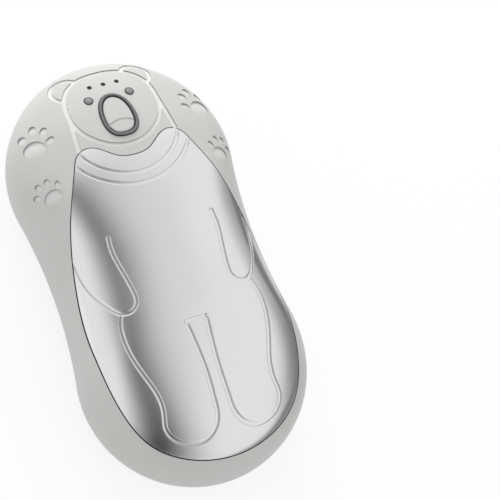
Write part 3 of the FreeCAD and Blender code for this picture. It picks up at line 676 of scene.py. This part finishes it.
def shell_blank():
    """Closed profile carried round the outline: outer dome, side, rim, recess, seat and inner dome."""
    crown = math.acos(CROWN_SHARE ** (SIDE_POWER / 2))
    outer = dome_rings(0.0, crown * (1 - np.linspace(0.0, 1.0, OUTER_RINGS)))
    corner = np.linspace(0.0, np.pi / 2, RIM_RINGS)
    profile = [(RIM_WIDTH * (1 - math.cos(a)), BACK_HEIGHT * (1 - math.sin(a))) for a in corner[1:]]
    slope = RIM_WIDTH + RIM_LAND
    cover = RIM_WIDTH + RIM_LAND + RIM_SLOPE
    inner = PANEL_DEPTH + COVER_THICKNESS
    profile += [(slope, 0.0)] + [(slope + share * RIM_SLOPE, z) for share, z in RIM_CURVE]
    profile += [(cover, PANEL_DEPTH), (cover, inner), (cover + SEAT_WIDTH, inner)]
    profile += [(cover + SEAT_WIDTH, inner + SEAT_THICKNESS), (WALL, inner + SEAT_THICKNESS)]
    lower = [flat_ring(plan_loop(inset), z) for inset, z in profile]
    inside = dome_rings(WALL, crown * np.linspace(0.0, 1.0, INNER_RINGS))
    return ring_mesh("moulded_shell", outer + lower + inside)


moulded_shell = shell_blank()
print("shell blank", len(moulded_shell.data.polygons), "faces")

# %% Outlines of the plate and the nose
PLATE_HALF = (26.7, 55.5)
PLATE_SHARES = (
    (0.0, 0.485), (0.165, 0.501), (0.3, 0.55), (0.423, 0.577), (0.528, 0.562), (0.614, 0.497),
    (0.794, 0.288), (0.933, 0.004), (1.0, -0.36), (0.936, -0.649), (0.757, -0.84), (0.419, -0.959),
    (0.0, -1.0),
)
PLATE_POINTS = 480
NOSE_Y = 39.65
NOSE_HALF = (5.0, 6.9)
NOSE_SHARES = (
    (0.0, 1.0), (0.46, 0.89), (0.82, 0.55), (1.0, -0.08), (0.92, -0.56), (0.6, -0.89), (0.0, -1.0),
)
NOSE_POINTS = 180


def placed(shares, half, middle=0.0):
    """Plan points from shares of a half width and a half length about a middle on the Y axis."""
    return [(x * half[0], middle + y * half[1]) for x, y in shares]


plate_loop = smooth_line(mirrored_loop(placed(PLATE_SHARES, PLATE_HALF)), PLATE_POINTS, True)
nose_loop = smooth_line(mirrored_loop(placed(NOSE_SHARES, NOSE_HALF, NOSE_Y)), NOSE_POINTS, True)
print("outlines", len(plate_loop), len(nose_loop), "points")

# %% Pocket, holes and sockets
PLATE_THICKNESS = 1.0
BOND_THICKNESS = 0.15
SEAM_GAP = 0.25
PLATE_MIDDLE = (0.0, -12.0)
POCKET_SHARES = np.linspace(1.0, 0.04, 40)
WINDOW = (0.0, -12.0, 18.5, 28.0)
WINDOW_POINTS = 160
EYE = (5.85, 45.8)
EYE_RADIUS = 1.3
EYE_DEPTH = 1.4
EYE_POINTS = 64
LIGHT_PITCH = 3.9
LIGHT_Y = 49.95
LIGHT_RADIUS = 0.65
LIGHT_POINTS = 40
PORT_HALF = (4.67, 1.83)
PORT_CORNER = 1.5
PORT_CORNER_POINTS = 8
PORT_Z = 12.43
PORT_REACH = (50.0, 62.0)


def plate_ring(loop, share, depth):
    """A loop of the plate drawn in towards its middle and laid at a depth below the dome."""
    x, y = (np.array(PLATE_MIDDLE) + share * (loop - PLATE_MIDDLE)).T
    return np.stack([x, y, dome_height(x, y, depth)], -1)


def plate_cutter(name, grow, depth):
    """Block over a plan loop of the plate whose floor lies at a depth below the dome."""
    loop = grown(plate_loop, grow)
    rings = [plate_ring(loop, share, depth) for share in POCKET_SHARES]
    return ring_mesh(name, [flat_ring(loop, TOP)] + rings)


def port_cutter():
    """Bar with rounded corners along Y, from inside the head to past its end."""
    angle = np.linspace(0.0, np.pi / 2, PORT_CORNER_POINTS)
    wide, high = PORT_HALF[0] - PORT_CORNER, PORT_HALF[1] - PORT_CORNER
    quarter = np.stack([wide + PORT_CORNER * np.sin(angle), high + PORT_CORNER * np.cos(angle)], -1)
    half = np.vstack([quarter, quarter[::-1] * (1, -1)])
    loop = np.vstack([half, half[::-1] * (-1, 1)])
    rings = [np.stack([loop[:, 0], np.full(len(loop), y), PORT_Z + loop[:, 1]], -1) for y in PORT_REACH]
    return ring_mesh("port_cutter", rings)


cutters = [plate_cutter("pocket", SEAM_GAP, PLATE_THICKNESS + BOND_THICKNESS)]
cutters.append(punch("window", oval(*WINDOW, WINDOW_POINTS), BACK_HEIGHT))
cutters.append(punch("nose_hole", nose_loop, BACK_HEIGHT))
eye_floor = float(dome_height(*EYE)) - EYE_DEPTH
for side in (-1, 1):
    loop = oval(side * EYE[0], EYE[1], EYE_RADIUS, EYE_RADIUS, EYE_POINTS)
    cutters.append(punch("eye_hole", loop, eye_floor))
for place in (-LIGHT_PITCH, 0.0, LIGHT_PITCH):
    loop = oval(place, LIGHT_Y, LIGHT_RADIUS, LIGHT_RADIUS, LIGHT_POINTS)
    cutters.append(punch("light_hole", loop, BACK_HEIGHT))
cutters.append(port_cutter())
print(len(cutters), "holes")

# %% [markdown]
# ## Lines and prints of the head
# The face, the ears and the neck are drawn on the shell as shallow lines with flat floors, and four paw
# prints are pressed in beside them. Bump in the finish could draw them too, but it would vanish at the edge
# of the body, so they are cut.

# %% Head lines and paw prints
LINE_WIDTH = 1.25
LINE_DEPTH = 0.38
FACE_Y = 42.4
FACE_HALF = (12.6, 12.0)
FACE_SHARES = (
    (0.0, 1.0), (0.52, 0.92), (0.8, 0.71), (0.97, 0.375), (1.0, 0.02), (0.92, -0.38), (0.7, -0.69),
    (0.35, -0.93), (0.0, -1.0),
)
FACE_POINTS = 260
NECK_SHARES = ((0.976, 0.283), (1.04, -0.367), (1.095, -0.917))
NECK_POINTS = 50
EAR = (10.05, 51.3, 3.95)
EAR_ARC = (-62.0, 148.0)
EAR_POINTS = 70
PAW_DEPTH = 0.48
# A print is x, y, size and turn, and a toe is reach and angle.
PAWS = ((23.6, 36.9, 2.9, 26.0), (23.7, 22.3, 2.3, -18.0))
PAW_PAD = (0.98, 0.88)
PAW_PAD_POINTS = 40
PAW_TOE = (0.33, 0.50)
PAW_TOE_POINTS = 28
PAW_TOE_TURN = 0.45
PAW_TOES = ((1.62, -47.0), (2.07, -13.0), (1.9, 15.0), (1.48, 52.0))
SHELL_SPREAD = 2.0


def circle_line(x, y, radius, start, end, count):
    """Arc about a point between two angles in degrees."""
    angle = np.radians(np.linspace(start, end, count))
    return np.stack([x + radius * np.cos(angle), y + radius * np.sin(angle)], -1)


def paw(x, y, size, turn):
    """A pad and four toes about it, as shares of the print's size."""
    loops = [oval(x, y, size * PAW_PAD[0], size * PAW_PAD[1], PAW_PAD_POINTS, turn)]
    for reach, angle in PAW_TOES:
        heading = math.radians(90 + turn + angle)
        toe = (x + size * reach * math.cos(heading), y + size * reach * math.sin(heading))
        lean = turn + PAW_TOE_TURN * angle
        loops.append(oval(*toe, size * PAW_TOE[0], size * PAW_TOE[1], PAW_TOE_POINTS, lean))
    return loops


section = pressed_section(LINE_SHARES, LINE_WIDTH, LINE_DEPTH)
face_line = smooth_line(mirrored_loop(placed(FACE_SHARES, FACE_HALF, FACE_Y)), FACE_POINTS, True)
ear_line = circle_line(*EAR, *EAR_ARC, EAR_POINTS)
neck_line = smooth_line(placed(NECK_SHARES, FACE_HALF, FACE_Y), NECK_POINTS, False)
cutters.append(groove("face_line", face_line, section, True))
for flip in ((1, 1), (-1, 1)):
    cutters.append(groove("ear_line", ear_line * flip, section, False))
    cutters.append(groove("neck_line", neck_line * flip, section, False))
    for place in PAWS:
        cutters += [press("paw", loop * flip, PAW_DEPTH) for loop in paw(*place)]
carve(moulded_shell, cutters)
smooth_faces(moulded_shell)
print(dome_faces(moulded_shell, SHELL_SPREAD), "corners of the shell on the dome")
print(mark_walls(moulded_shell), "of", len(moulded_shell.data.polygons), "faces are walls of cuts")

# %% [markdown]
# ## The heating plate
# A sheet of satin metal is pressed to the dome and let into the shell, with a thin dark seam round it.
# Channels draw two arms and two legs on it, and two rings mark the neck. A square grid would have a ragged
# edge, so the sheet is made of rings that shrink from its outline to its middle.

# %% Blank of the plate and its channels
PLATE_TOP_SHARES = np.linspace(0.012, 1.0, 110)
PLATE_LOW_SHARES = np.linspace(1.0, 0.03, 40)
CHANNEL_WIDTH = 1.15
CHANNEL_DEPTH = 0.5
NECK_Y = 37.5
NECK_RINGS = (15.45, 18.6)
NECK_RING_WIDTH = 1.0
NECK_ARC = (-175.0, -5.0)
NECK_RING_POINTS = 240
EDGE_FADE = 2.0
ARM_SHARES = (
    (0.543, 0.137), (0.554, 0.058), (0.528, -0.038), (0.494, -0.146), (0.506, -0.214), (0.577, -0.243),
    (0.67, -0.238), (0.753, -0.191), (0.846, -0.097), (0.893, 0.018), (0.895, 0.133),
)
ARM_POINTS = 180
LEG_SHARES = (
    (0.664, -0.233), (0.693, -0.259), (0.727, -0.337), (0.708, -0.45), (0.637, -0.568), (0.581, -0.667),
    (0.584, -0.744), (0.599, -0.796), (0.539, -0.858), (0.408, -0.895), (0.277, -0.903), (0.169, -0.879),
    (0.097, -0.832), (0.073, -0.744), (0.066, -0.632), (0.075, -0.523), (0.105, -0.369),
)
LEG_POINTS = 260
FORK_SHARES = ((-0.125, -0.364), (0.0, -0.364), (0.125, -0.364))
FORK_POINTS = 40
PLATE_SPREAD = 7.0


def plate_blank():
    """Sheet between the dome and a lower dome: loops of the plate that shrink towards its middle."""
    rings = [plate_ring(plate_loop, share, 0.0) for share in PLATE_TOP_SHARES]
    rings += [plate_ring(plate_loop, share, PLATE_THICKNESS) for share in PLATE_LOW_SHARES]
    return ring_mesh("heating_plate", rings)


def on_plate(line):
    """The points of a line on the plate: nearer to its middle than its edge is in that direction."""
    edge, here = plate_loop - PLATE_MIDDLE, line - PLATE_MIDDLE
    angle = np.arctan2(edge[:, 0], -edge[:, 1])
    order = np.argsort(angle)
    reach = np.interp(np.arctan2(here[:, 0], -here[:, 1]), angle[order], np.hypot(*edge.T)[order])
    return line[np.hypot(*here.T) < reach]


heating_plate = plate_blank()
section = pressed_section(CHANNEL_SHARES, CHANNEL_WIDTH, CHANNEL_DEPTH)
ring_section = pressed_section(CHANNEL_SHARES, NECK_RING_WIDTH, CHANNEL_DEPTH)
arm_line = smooth_line(placed(ARM_SHARES, PLATE_HALF), ARM_POINTS, False)
leg_line = smooth_line(placed(LEG_SHARES, PLATE_HALF), LEG_POINTS, False)
fork_line = smooth_line(placed(FORK_SHARES, PLATE_HALF), FORK_POINTS, False)
cutters = []
for flip in ((1, 1), (-1, 1)):
    cutters.append(groove("arm_line", on_plate(arm_line * flip), section, False, (0.0, EDGE_FADE)))
    cutters.append(groove("leg_line", leg_line * flip, section, False))
cutters.append(groove("fork_line", fork_line, section, False))
for radius in NECK_RINGS:
    ring = on_plate(circle_line(0.0, NECK_Y, radius, *NECK_ARC, NECK_RING_POINTS))
    cutters.append(groove("neck_ring", ring, ring_section, False, (EDGE_FADE, EDGE_FADE)))
carve(heating_plate, cutters)
smooth_faces(heating_plate)
print(dome_faces(heating_plate, PLATE_SPREAD), "corners of the plate on the dome")

# %% [markdown]
# ## Nose, eyes and rear oval
# The nose is the power button: a soft cap with a mouth crease inside a glossy dark bead. A bevelled curve
# could make the bead, but a rounded section carried round the nose's outline in rings follows the dome
# exactly. The eyes are low buttons let into the shell, and the back has a bare oval plate.

# %% Bead round the nose
RING_WIDTH = 1.15
RING_FIT = 0.05
BEAD_LOW = 23.85
BEAD_ROUND = 0.95
BEAD_PROUD = 0.65
BEAD_RINGS = 19
BEAD_CREASE = 50.0


def bead_rings():
    """Section across the bead: across = half width * cos, rise = round * sin, then upright walls."""
    half = (RING_WIDTH - RING_FIT) / 2
    rings = []
    for angle in np.linspace(0.0, np.pi, BEAD_RINGS):
        loop = grown(nose_loop, -RING_FIT - half + half * math.cos(angle))
        rise = BEAD_ROUND * (math.sin(angle) - 1.0) + BEAD_PROUD
        rings.append(flat_ring(loop, dome_height(*loop.T) + rise))
    rings += [flat_ring(grown(nose_loop, -inset), BEAD_LOW) for inset in (RING_WIDTH, RING_FIT)]
    return rings


nose_bead = ring_mesh("nose_bead", bead_rings(), ends_meet=True)
smooth_faces(nose_bead, BEAD_CREASE)
print("bead", len(nose_bead.data.polygons), "faces")

# %% Cap of the nose
BUTTON_GAP = 0.15
BUTTON_PROUD = 0.25
CAP_SHARES = np.linspace(0.03, 1.0, 22)[:-1]
CAP_ROUND = 0.4
CAP_DROP = 0.7
CAP_ROUND_RINGS = 8
FLANGE_TOP = 22.35
FLANGE_LOW = 21.35
FLANGE_REACH = 0.9
MOUTH_RADIUS = 5.6
MOUTH_DROP = 1.85
MOUTH_ARC = (35.0, 145.0)
MOUTH_POINTS = 60
MOUTH_WIDTH = 0.6
MOUTH_DEPTH = 0.05


def cap_rings():
    """Crown drawn in from the edge, a rounded shoulder, an upright wall and a flange below."""
    edge = -RING_WIDTH - BUTTON_GAP
    middle = np.array((0.0, NOSE_Y))
    rings = []
    for share in CAP_SHARES:
        loop = middle + share * (grown(nose_loop, edge - CAP_ROUND) - middle)
        rings.append(flat_ring(loop, dome_height(*loop.T) + BUTTON_PROUD))
    for angle in np.linspace(0.0, np.pi / 2, CAP_ROUND_RINGS):
        loop = grown(nose_loop, edge - CAP_ROUND * (1 - math.sin(angle)))
        drop = CAP_DROP * CAP_ROUND * (1 - math.cos(angle))
        rings.append(flat_ring(loop, dome_height(*loop.T) + BUTTON_PROUD - drop))
    wide = grown(nose_loop, -RING_WIDTH + FLANGE_REACH)
    rings += [flat_ring(grown(nose_loop, edge), FLANGE_TOP), flat_ring(wide, FLANGE_TOP)]
    return rings + [flat_ring(wide, FLANGE_LOW)]


nose_cap = ring_mesh("nose_cap", cap_rings())
mouth = circle_line(0.0, NOSE_Y - MOUTH_DROP - MOUTH_RADIUS, MOUTH_RADIUS, *MOUTH_ARC, MOUTH_POINTS)
carve(nose_cap, [groove("mouth", mouth, crease_section(MOUTH_WIDTH, MOUTH_DEPTH), False)])
smooth_faces(nose_cap)
print("cap", len(nose_cap.data.polygons), "faces")

# %% Eyes and rear oval
EYE_FIT = 0.16
EYE_PROFILE = (
    (0.04, 0.42), (0.3, 0.42), (0.5, 0.42), (0.56, 0.36), (0.62, 0.41), (0.74, 0.38), (0.86, 0.28),
    (0.95, 0.1), (1.0, -0.15), (1.0, -1.3),
)
REAR_HALF = (18.5, 35.5)
REAR_SHARES = (0.02, 0.25, 0.5, 0.75, 0.95)
REAR_THICKNESS = 0.8
REAR_ROUND = 0.18
REAR_ROUND_RINGS = 6
REAR_POINTS = 240
EDGE_CREASE = 40.0


def eye_inlay(name, side):
    """Low button that follows the dome: a flat top with a fine ring, a rounded edge, an upright wall."""
    rings = []
    radius = EYE_RADIUS - EYE_FIT
    for share, rise in EYE_PROFILE:
        loop = oval(side * EYE[0], EYE[1], radius * share, radius * share, EYE_POINTS)
        rings.append(flat_ring(loop, dome_height(*loop.T) + rise))
    return ring_mesh(name, rings)


def rear_ring(half_x, half_y, z):
    """Oval about the middle at a height."""
    return flat_ring(oval(0.0, 0.0, half_x, half_y, REAR_POINTS), z)


def rear_oval():
    """Flat oval sheet with a rounded outer edge, facing down."""
    rings = [rear_ring(share * REAR_HALF[0], share * REAR_HALF[1], PANEL_DEPTH) for share in REAR_SHARES]
    for angle in np.linspace(0.0, np.pi / 2, REAR_ROUND_RINGS):
        inset = REAR_ROUND * (1 - math.sin(angle))
        rise = REAR_ROUND * (1 - math.cos(angle))
        rings.append(rear_ring(REAR_HALF[0] - inset, REAR_HALF[1] - inset, PANEL_DEPTH + rise))
    rings.append(rear_ring(*REAR_HALF, PANEL_DEPTH + REAR_THICKNESS))
    return ring_mesh("rear_oval", rings)


left_inlay, right_inlay = eye_inlay("left_inlay", -1), eye_inlay("right_inlay", 1)
rear_sheet = rear_oval()
for made in (left_inlay, right_inlay, rear_sheet):
    smooth_faces(made, EDGE_CREASE)
print("oval", len(rear_sheet.data.polygons), "faces")

# %% [markdown]
# ## Finishes
# Each finish is a principled shader whose colour, roughness and fine bumps come from noise. Painted images
# could do that too, but noise needs no unwrapping and stays sharp from near by. It is read in the piece's
# own coordinates. Those are metres, so a noise scale of 4000 has grains of a quarter of a millimetre.

# %% A finish from noise
TONE_EDGES = (0.35, 0.65)
GRAIN_DETAIL = 3.0
GRAIN_HEIGHT = 0.1 * MM


def blend(tree, mask, dark, light):
    """Colour between two colours by a mask. A Mix node has colours at inlets 6 and 7 and outlet 2."""
    ends = [tone if isinstance(tone, Wire) else (*tone, 1.0) for tone in (dark, light)]
    inlets = {"Factor": mask, 6: ends[0], 7: ends[1]}
    return Wire.node(tree, "Mix", {"data_type": "RGBA"}, inlets, 2)


def ramp(mask, ends):
    """Number between two numbers by a mask."""
    return ends[0] + (ends[1] - ends[0]) * mask


def noise(tree, place, scale, detail=2.0):
    """Noise with about so many grains to a metre."""
    return Wire.node(tree, "TexNoise", {}, {"Vector": place, "Scale": scale, "Detail": detail})


def close_finish(tree, colour, roughness, grain, bump, **fixed):
    """Principled shader with a fine grain as its bump, and its output."""
    lift = Wire.node(tree, "Bump", {}, {"Height": grain, "Strength": bump, "Distance": GRAIN_HEIGHT})
    inlets = {"Base Color": colour, "Roughness": roughness, "Normal": lift, **fixed}
    shader = Wire.node(tree, "BsdfPrincipled", {}, inlets)
    Wire.node(tree, "OutputMaterial", {}, {"Surface": shader})


def plain_finish(name, dark, light, tone_scale, rough, grain_scale, bump, **fixed):
    """Two near tones by a broad noise, roughness by the same noise, and a fine grain."""
    material, tree, place = start_finish(name)
    tone = noise(tree, place, tone_scale).between(*TONE_EDGES)
    grain = noise(tree, place, grain_scale, GRAIN_DETAIL)
    colour = blend(tree, tone, dark, light)
    close_finish(tree, colour, ramp(tone, rough), grain, bump, **fixed)
    return material


print("plain finishes ready")

# %% [markdown]
# ## Finishes that know the dome
# On the shell the floors of the cuts are painted lighter than the skin round them, as painted light, and
# their walls are painted darker, as painted shade. The dome has a formula, so the finish works out how far a
# point lies below it, and that depth tells skin, wall and floor apart. The ring of the nose and the eyes get
# painted shade down their sides in the same way.

# %% Depth below the dome
DOME_ONLY = (17.0, 17.5)


def dome_depth(tree, place):
    """Depth of a point below the dome, its distance from the middle line and its Y, in millimetres.

    The dome's height is worked out as for the meshes: reach of an arc, share g, rounded profile. The depth
    counts as nothing at the low sides of the body.
    """
    parts = Wire.node(tree, "SeparateXYZ", {}, {"Vector": place}).socket.node.outputs
    x, y, z = (Wire(parts[axis]) / MM for axis in "XYZ")
    square = x * x + y * y
    length = square.math("SQRT")
    across, along = x.math("ABSOLUTE") / length, y.math("ABSOLUTE") / length
    middle = along * LOBE_Y
    under = middle * middle + (LOBE_RADIUS ** 2 - LOBE_Y ** 2)
    far = middle + under.math("SQRT")
    middle = across * WAIST_X
    under = middle * middle + (WAIST_RADIUS ** 2 - WAIST_X ** 2)
    under = under.math("MAXIMUM", 0.0)
    near = middle - under.math("SQRT")
    share = LOBE_RADIUS / (LOBE_RADIUS + WAIST_RADIUS)
    lobe = (along * (WAIST_X * share)).math("GREATER_THAN", across * (LOBE_Y * (1 - share)))
    g = length / (near + (far - near) * lobe)
    fall = 1.0 - g.math("POWER", SIDE_POWER)
    fall = fall.math("MAXIMUM", 0.0)
    depth = BACK_HEIGHT + FRONT_HEIGHT * fall.math("POWER", 1 / CROWN_POWER) - z
    return depth * z.between(*DOME_ONLY), x.math("ABSOLUTE"), y


print("depth ready")

# %% Shell plastic and aluminium
# Each look: scale of the tones, roughness, scale of the grain, bump.
SHELL_TONES = ((0.657, 0.650, 0.632), (0.687, 0.681, 0.664))
SHELL_LOOK = (60.0, (0.42, 0.50), 5200.0, 0.06)
METAL_TONES = ((0.795, 0.795, 0.80), (0.815, 0.815, 0.82))
METAL_LOOK = (2600.0, (0.18, 0.20), 4200.0, 0.05)
# Tones of the cuts on the shell: painted light on their floors, painted shade on their walls.
LINE_FLOOR_LIGHT = (0.92, 0.915, 0.90)
WALL_SHADE = (0.10, 0.10, 0.098)
PRINT_FLOOR_LIGHT = (0.80, 0.795, 0.78)
PRINT_WALL_SHADE = (0.36, 0.36, 0.353)
NOSE_MARGIN = 0.3
NOSE_EDGE = (1.0, 0.95)
NOSE_CREASE = 0.16
HEAD_SIDE = (16.6, 16.2)
HEAD_LOW = (29.5, 30.0)
HEAD_END = (57.5, 57.2)
PRINT_REACH = (2.8, 2.7)
PRINT_FLOOR = (0.04, 0.5)
WALL_START = (0.03, 0.07)
LINE_FLOOR = (0.80, 0.9)
LINE_PAST = (1.8, 1.6)


def shell_finish(name, dark, light, tone_scale, rough, grain_scale, bump):
    """Two near tones by a broad noise, and a fine grain.

    The floors of the head's lines and of the paw prints are painted lighter, as painted light. The walls of
    the lines, the prints, the seam and the small holes are painted darker, as painted shade.
    """
    material, tree, place = start_finish(name)
    tone = noise(tree, place, tone_scale).between(*TONE_EDGES)
    colour = blend(tree, tone, dark, light)
    depth, x, y = dome_depth(tree, place)
    nose_x, nose_y = x / (NOSE_HALF[0] + NOSE_MARGIN), (y - NOSE_Y) / (NOSE_HALF[1] + NOSE_MARGIN)
    nose = (nose_x * nose_x + nose_y * nose_y).between(*NOSE_EDGE)
    head = x.between(*HEAD_SIDE) * y.between(*HEAD_LOW) * (1.0 - nose)
    prints = 0.0
    for paw_x, paw_y, size, _ in PAWS:
        off = (x - paw_x) * (x - paw_x) + (y - paw_y) * (y - paw_y)
        prints = prints + off.between(*((reach * size) ** 2 for reach in PRINT_REACH))
    # Painted shade: below a hair's depth under the dome the skin turns dark, on the walls of lines, seam and
    # holes.
    wall = (depth - NOSE_CREASE * nose).between(*WALL_START) * (1.0 - prints) * y.between(*HEAD_END)
    # Painted light: the floors of the head's lines are painted lighter than the skin.
    floor = depth.between(*(share * LINE_DEPTH for share in LINE_FLOOR))
    floor = floor * depth.between(*(share * LINE_DEPTH for share in LINE_PAST))
    colour = blend(tree, wall, colour, WALL_SHADE)
    colour = blend(tree, head * floor, colour, LINE_FLOOR_LIGHT)
    # Painted light: the floors of the paw prints are painted lighter than the skin.
    colour = blend(tree, prints * depth.between(*PRINT_FLOOR), colour, PRINT_FLOOR_LIGHT)
    # Painted shade: the upright walls of the paw prints are painted darker.
    marked = Wire.node(tree, "Attribute", {"attribute_name": "wall"}, {}, "Fac")
    colour = blend(tree, prints * marked, colour, PRINT_WALL_SHADE)
    grain = noise(tree, place, grain_scale, GRAIN_DETAIL)
    close_finish(tree, colour, ramp(tone, rough), grain, bump)
    return material


finishes = {"shell_plastic": shell_finish("shell_plastic", *SHELL_TONES, *SHELL_LOOK)}
finishes["plate_aluminium"] = plain_finish("plate_aluminium", *METAL_TONES, *METAL_LOOK, Metallic=1.0)
print(len(finishes), "finishes")

# %% Ring and eye plastic
RAISED_TONE_SCALE = 300.0
RAISED_GRAIN_SCALE = 5000.0
RAISED_BUMP = 0.03
# Each look: dark tone, light tone, tone of the sides, which is painted shade, rise between which they start,
# roughness.
RAISED_LOOKS = {
    "ring_plastic": (
        (0.175, 0.175, 0.175), (0.205, 0.205, 0.205), (0.02, 0.02, 0.02), (0.25, 0.56), (0.25, 0.32)),
    "eye_plastic": ((0.28, 0.28, 0.28), (0.32, 0.32, 0.32), (0.05, 0.05, 0.05), (0.05, 0.30), (0.3, 0.4)),
}


def raised_finish(name, dark, light, side, rise, rough):
    """Two near tones by a noise on the top of a small raised piece, and painted shade down its sides."""
    material, tree, place = start_finish(name)
    tone = noise(tree, place, RAISED_TONE_SCALE).between(*TONE_EDGES)
    depth = dome_depth(tree, place)[0]
    # Painted shade: below its top the piece's sides turn to a darker tone.
    colour = blend(tree, depth.between(-rise[1], -rise[0]), blend(tree, tone, dark, light), side)
    grain = noise(tree, place, RAISED_GRAIN_SCALE, GRAIN_DETAIL)
    close_finish(tree, colour, ramp(tone, rough), grain, RAISED_BUMP)
    return material


finishes.update({slot: raised_finish(slot, *look) for slot, look in RAISED_LOOKS.items()})
print(len(finishes), "outer finishes")

# %% Finishes of the inner pieces
# Each look: dark tone, light tone, scale of the tones, roughness, scale of the grain, bump.
INNER_LOOKS = {
    "bond": ((0.10, 0.10, 0.10), (0.14, 0.14, 0.14), 700.0, (0.6, 0.8), 4000.0, 0.2),
    "heater_film": ((0.56, 0.25, 0.04), (0.66, 0.33, 0.06), 120.0, (0.15, 0.25), 2500.0, 0.05),
    "fibre_board": ((0.56, 0.50, 0.37), (0.66, 0.60, 0.46), 1200.0, (0.5, 0.65), 2600.0, 0.2),
    "tray_plastic": ((0.32, 0.32, 0.33), (0.37, 0.37, 0.38), 90.0, (0.4, 0.5), 4200.0, 0.1),
    "circuit_board": ((0.02, 0.16, 0.07), (0.04, 0.23, 0.11), 420.0, (0.2, 0.35), 900.0, 0.2),
    "red_wire": ((0.50, 0.02, 0.02), (0.58, 0.04, 0.03), 500.0, (0.4, 0.5), 3000.0, 0.1),
    "black_wire": ((0.025, 0.025, 0.025), (0.04, 0.04, 0.04), 500.0, (0.4, 0.5), 3000.0, 0.1),
    "white_wire": ((0.70, 0.70, 0.69), (0.77, 0.77, 0.76), 500.0, (0.4, 0.5), 3000.0, 0.1),
    "black_plastic": ((0.025, 0.025, 0.025), (0.04, 0.04, 0.04), 600.0, (0.35, 0.5), 5000.0, 0.1),
    "ferrite": ((0.08, 0.08, 0.09), (0.11, 0.11, 0.12), 900.0, (0.5, 0.65), 3500.0, 0.3),
    "light_guide": ((0.06, 0.06, 0.06), (0.08, 0.08, 0.08), 500.0, (0.12, 0.2), 4000.0, 0.03),
    "led_lens": ((0.80, 0.78, 0.62), (0.88, 0.86, 0.74), 900.0, (0.1, 0.2), 4000.0, 0.03),
}
INNER_METALS = {
    "cell_pouch": ((0.68, 0.69, 0.70), (0.76, 0.77, 0.78), 160.0, (0.3, 0.45), 900.0, 0.2),
    "steel": ((0.56, 0.56, 0.57), (0.66, 0.66, 0.67), 800.0, (0.25, 0.4), 5000.0, 0.08),
}
finishes.update({slot: plain_finish(slot, *look) for slot, look in INNER_LOOKS.items()})
finishes.update({slot: plain_finish(slot, *look, Metallic=1.0) for slot, look in INNER_METALS.items()})
for part in frame["record"]["subparts"]:
    mesh = frame["nodes"][part["node"]].data
    mesh.materials.clear()
    mesh.materials.append(finishes[part["material_slot"]])
print(len(finishes), "finishes")

# %% [markdown]
# ## Put the pieces on their bodies
# Each new surface stands for one node of the model: the node is hidden, and the surface rides on the same
# body. Of these only the nose's cap moves, half a millimetre into the shell.

# %% Ride and replace
PLACES = (
    (moulded_shell, "housing", "outer_shell", "shell_plastic"),
    (heating_plate, "housing", "front_plate", "plate_aluminium"),
    (nose_bead, "housing", "nose_ring", "ring_plastic"),
    (nose_cap, "nose_button", "nose_button", "shell_plastic"),
    (left_inlay, "housing", "left_eye", "eye_plastic"),
    (right_inlay, "housing", "right_eye", "eye_plastic"),
    (rear_sheet, "housing", "rear_plate", "plate_aluminium"),
)
for made, body, node, slot in PLACES:
    made.data.materials.clear()
    made.data.materials.append(finishes[slot])
    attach(made, body)
    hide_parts(node)
print(len(PLACES), "pieces in place")

# %% Update the scene
bpy.context.view_layer.update()
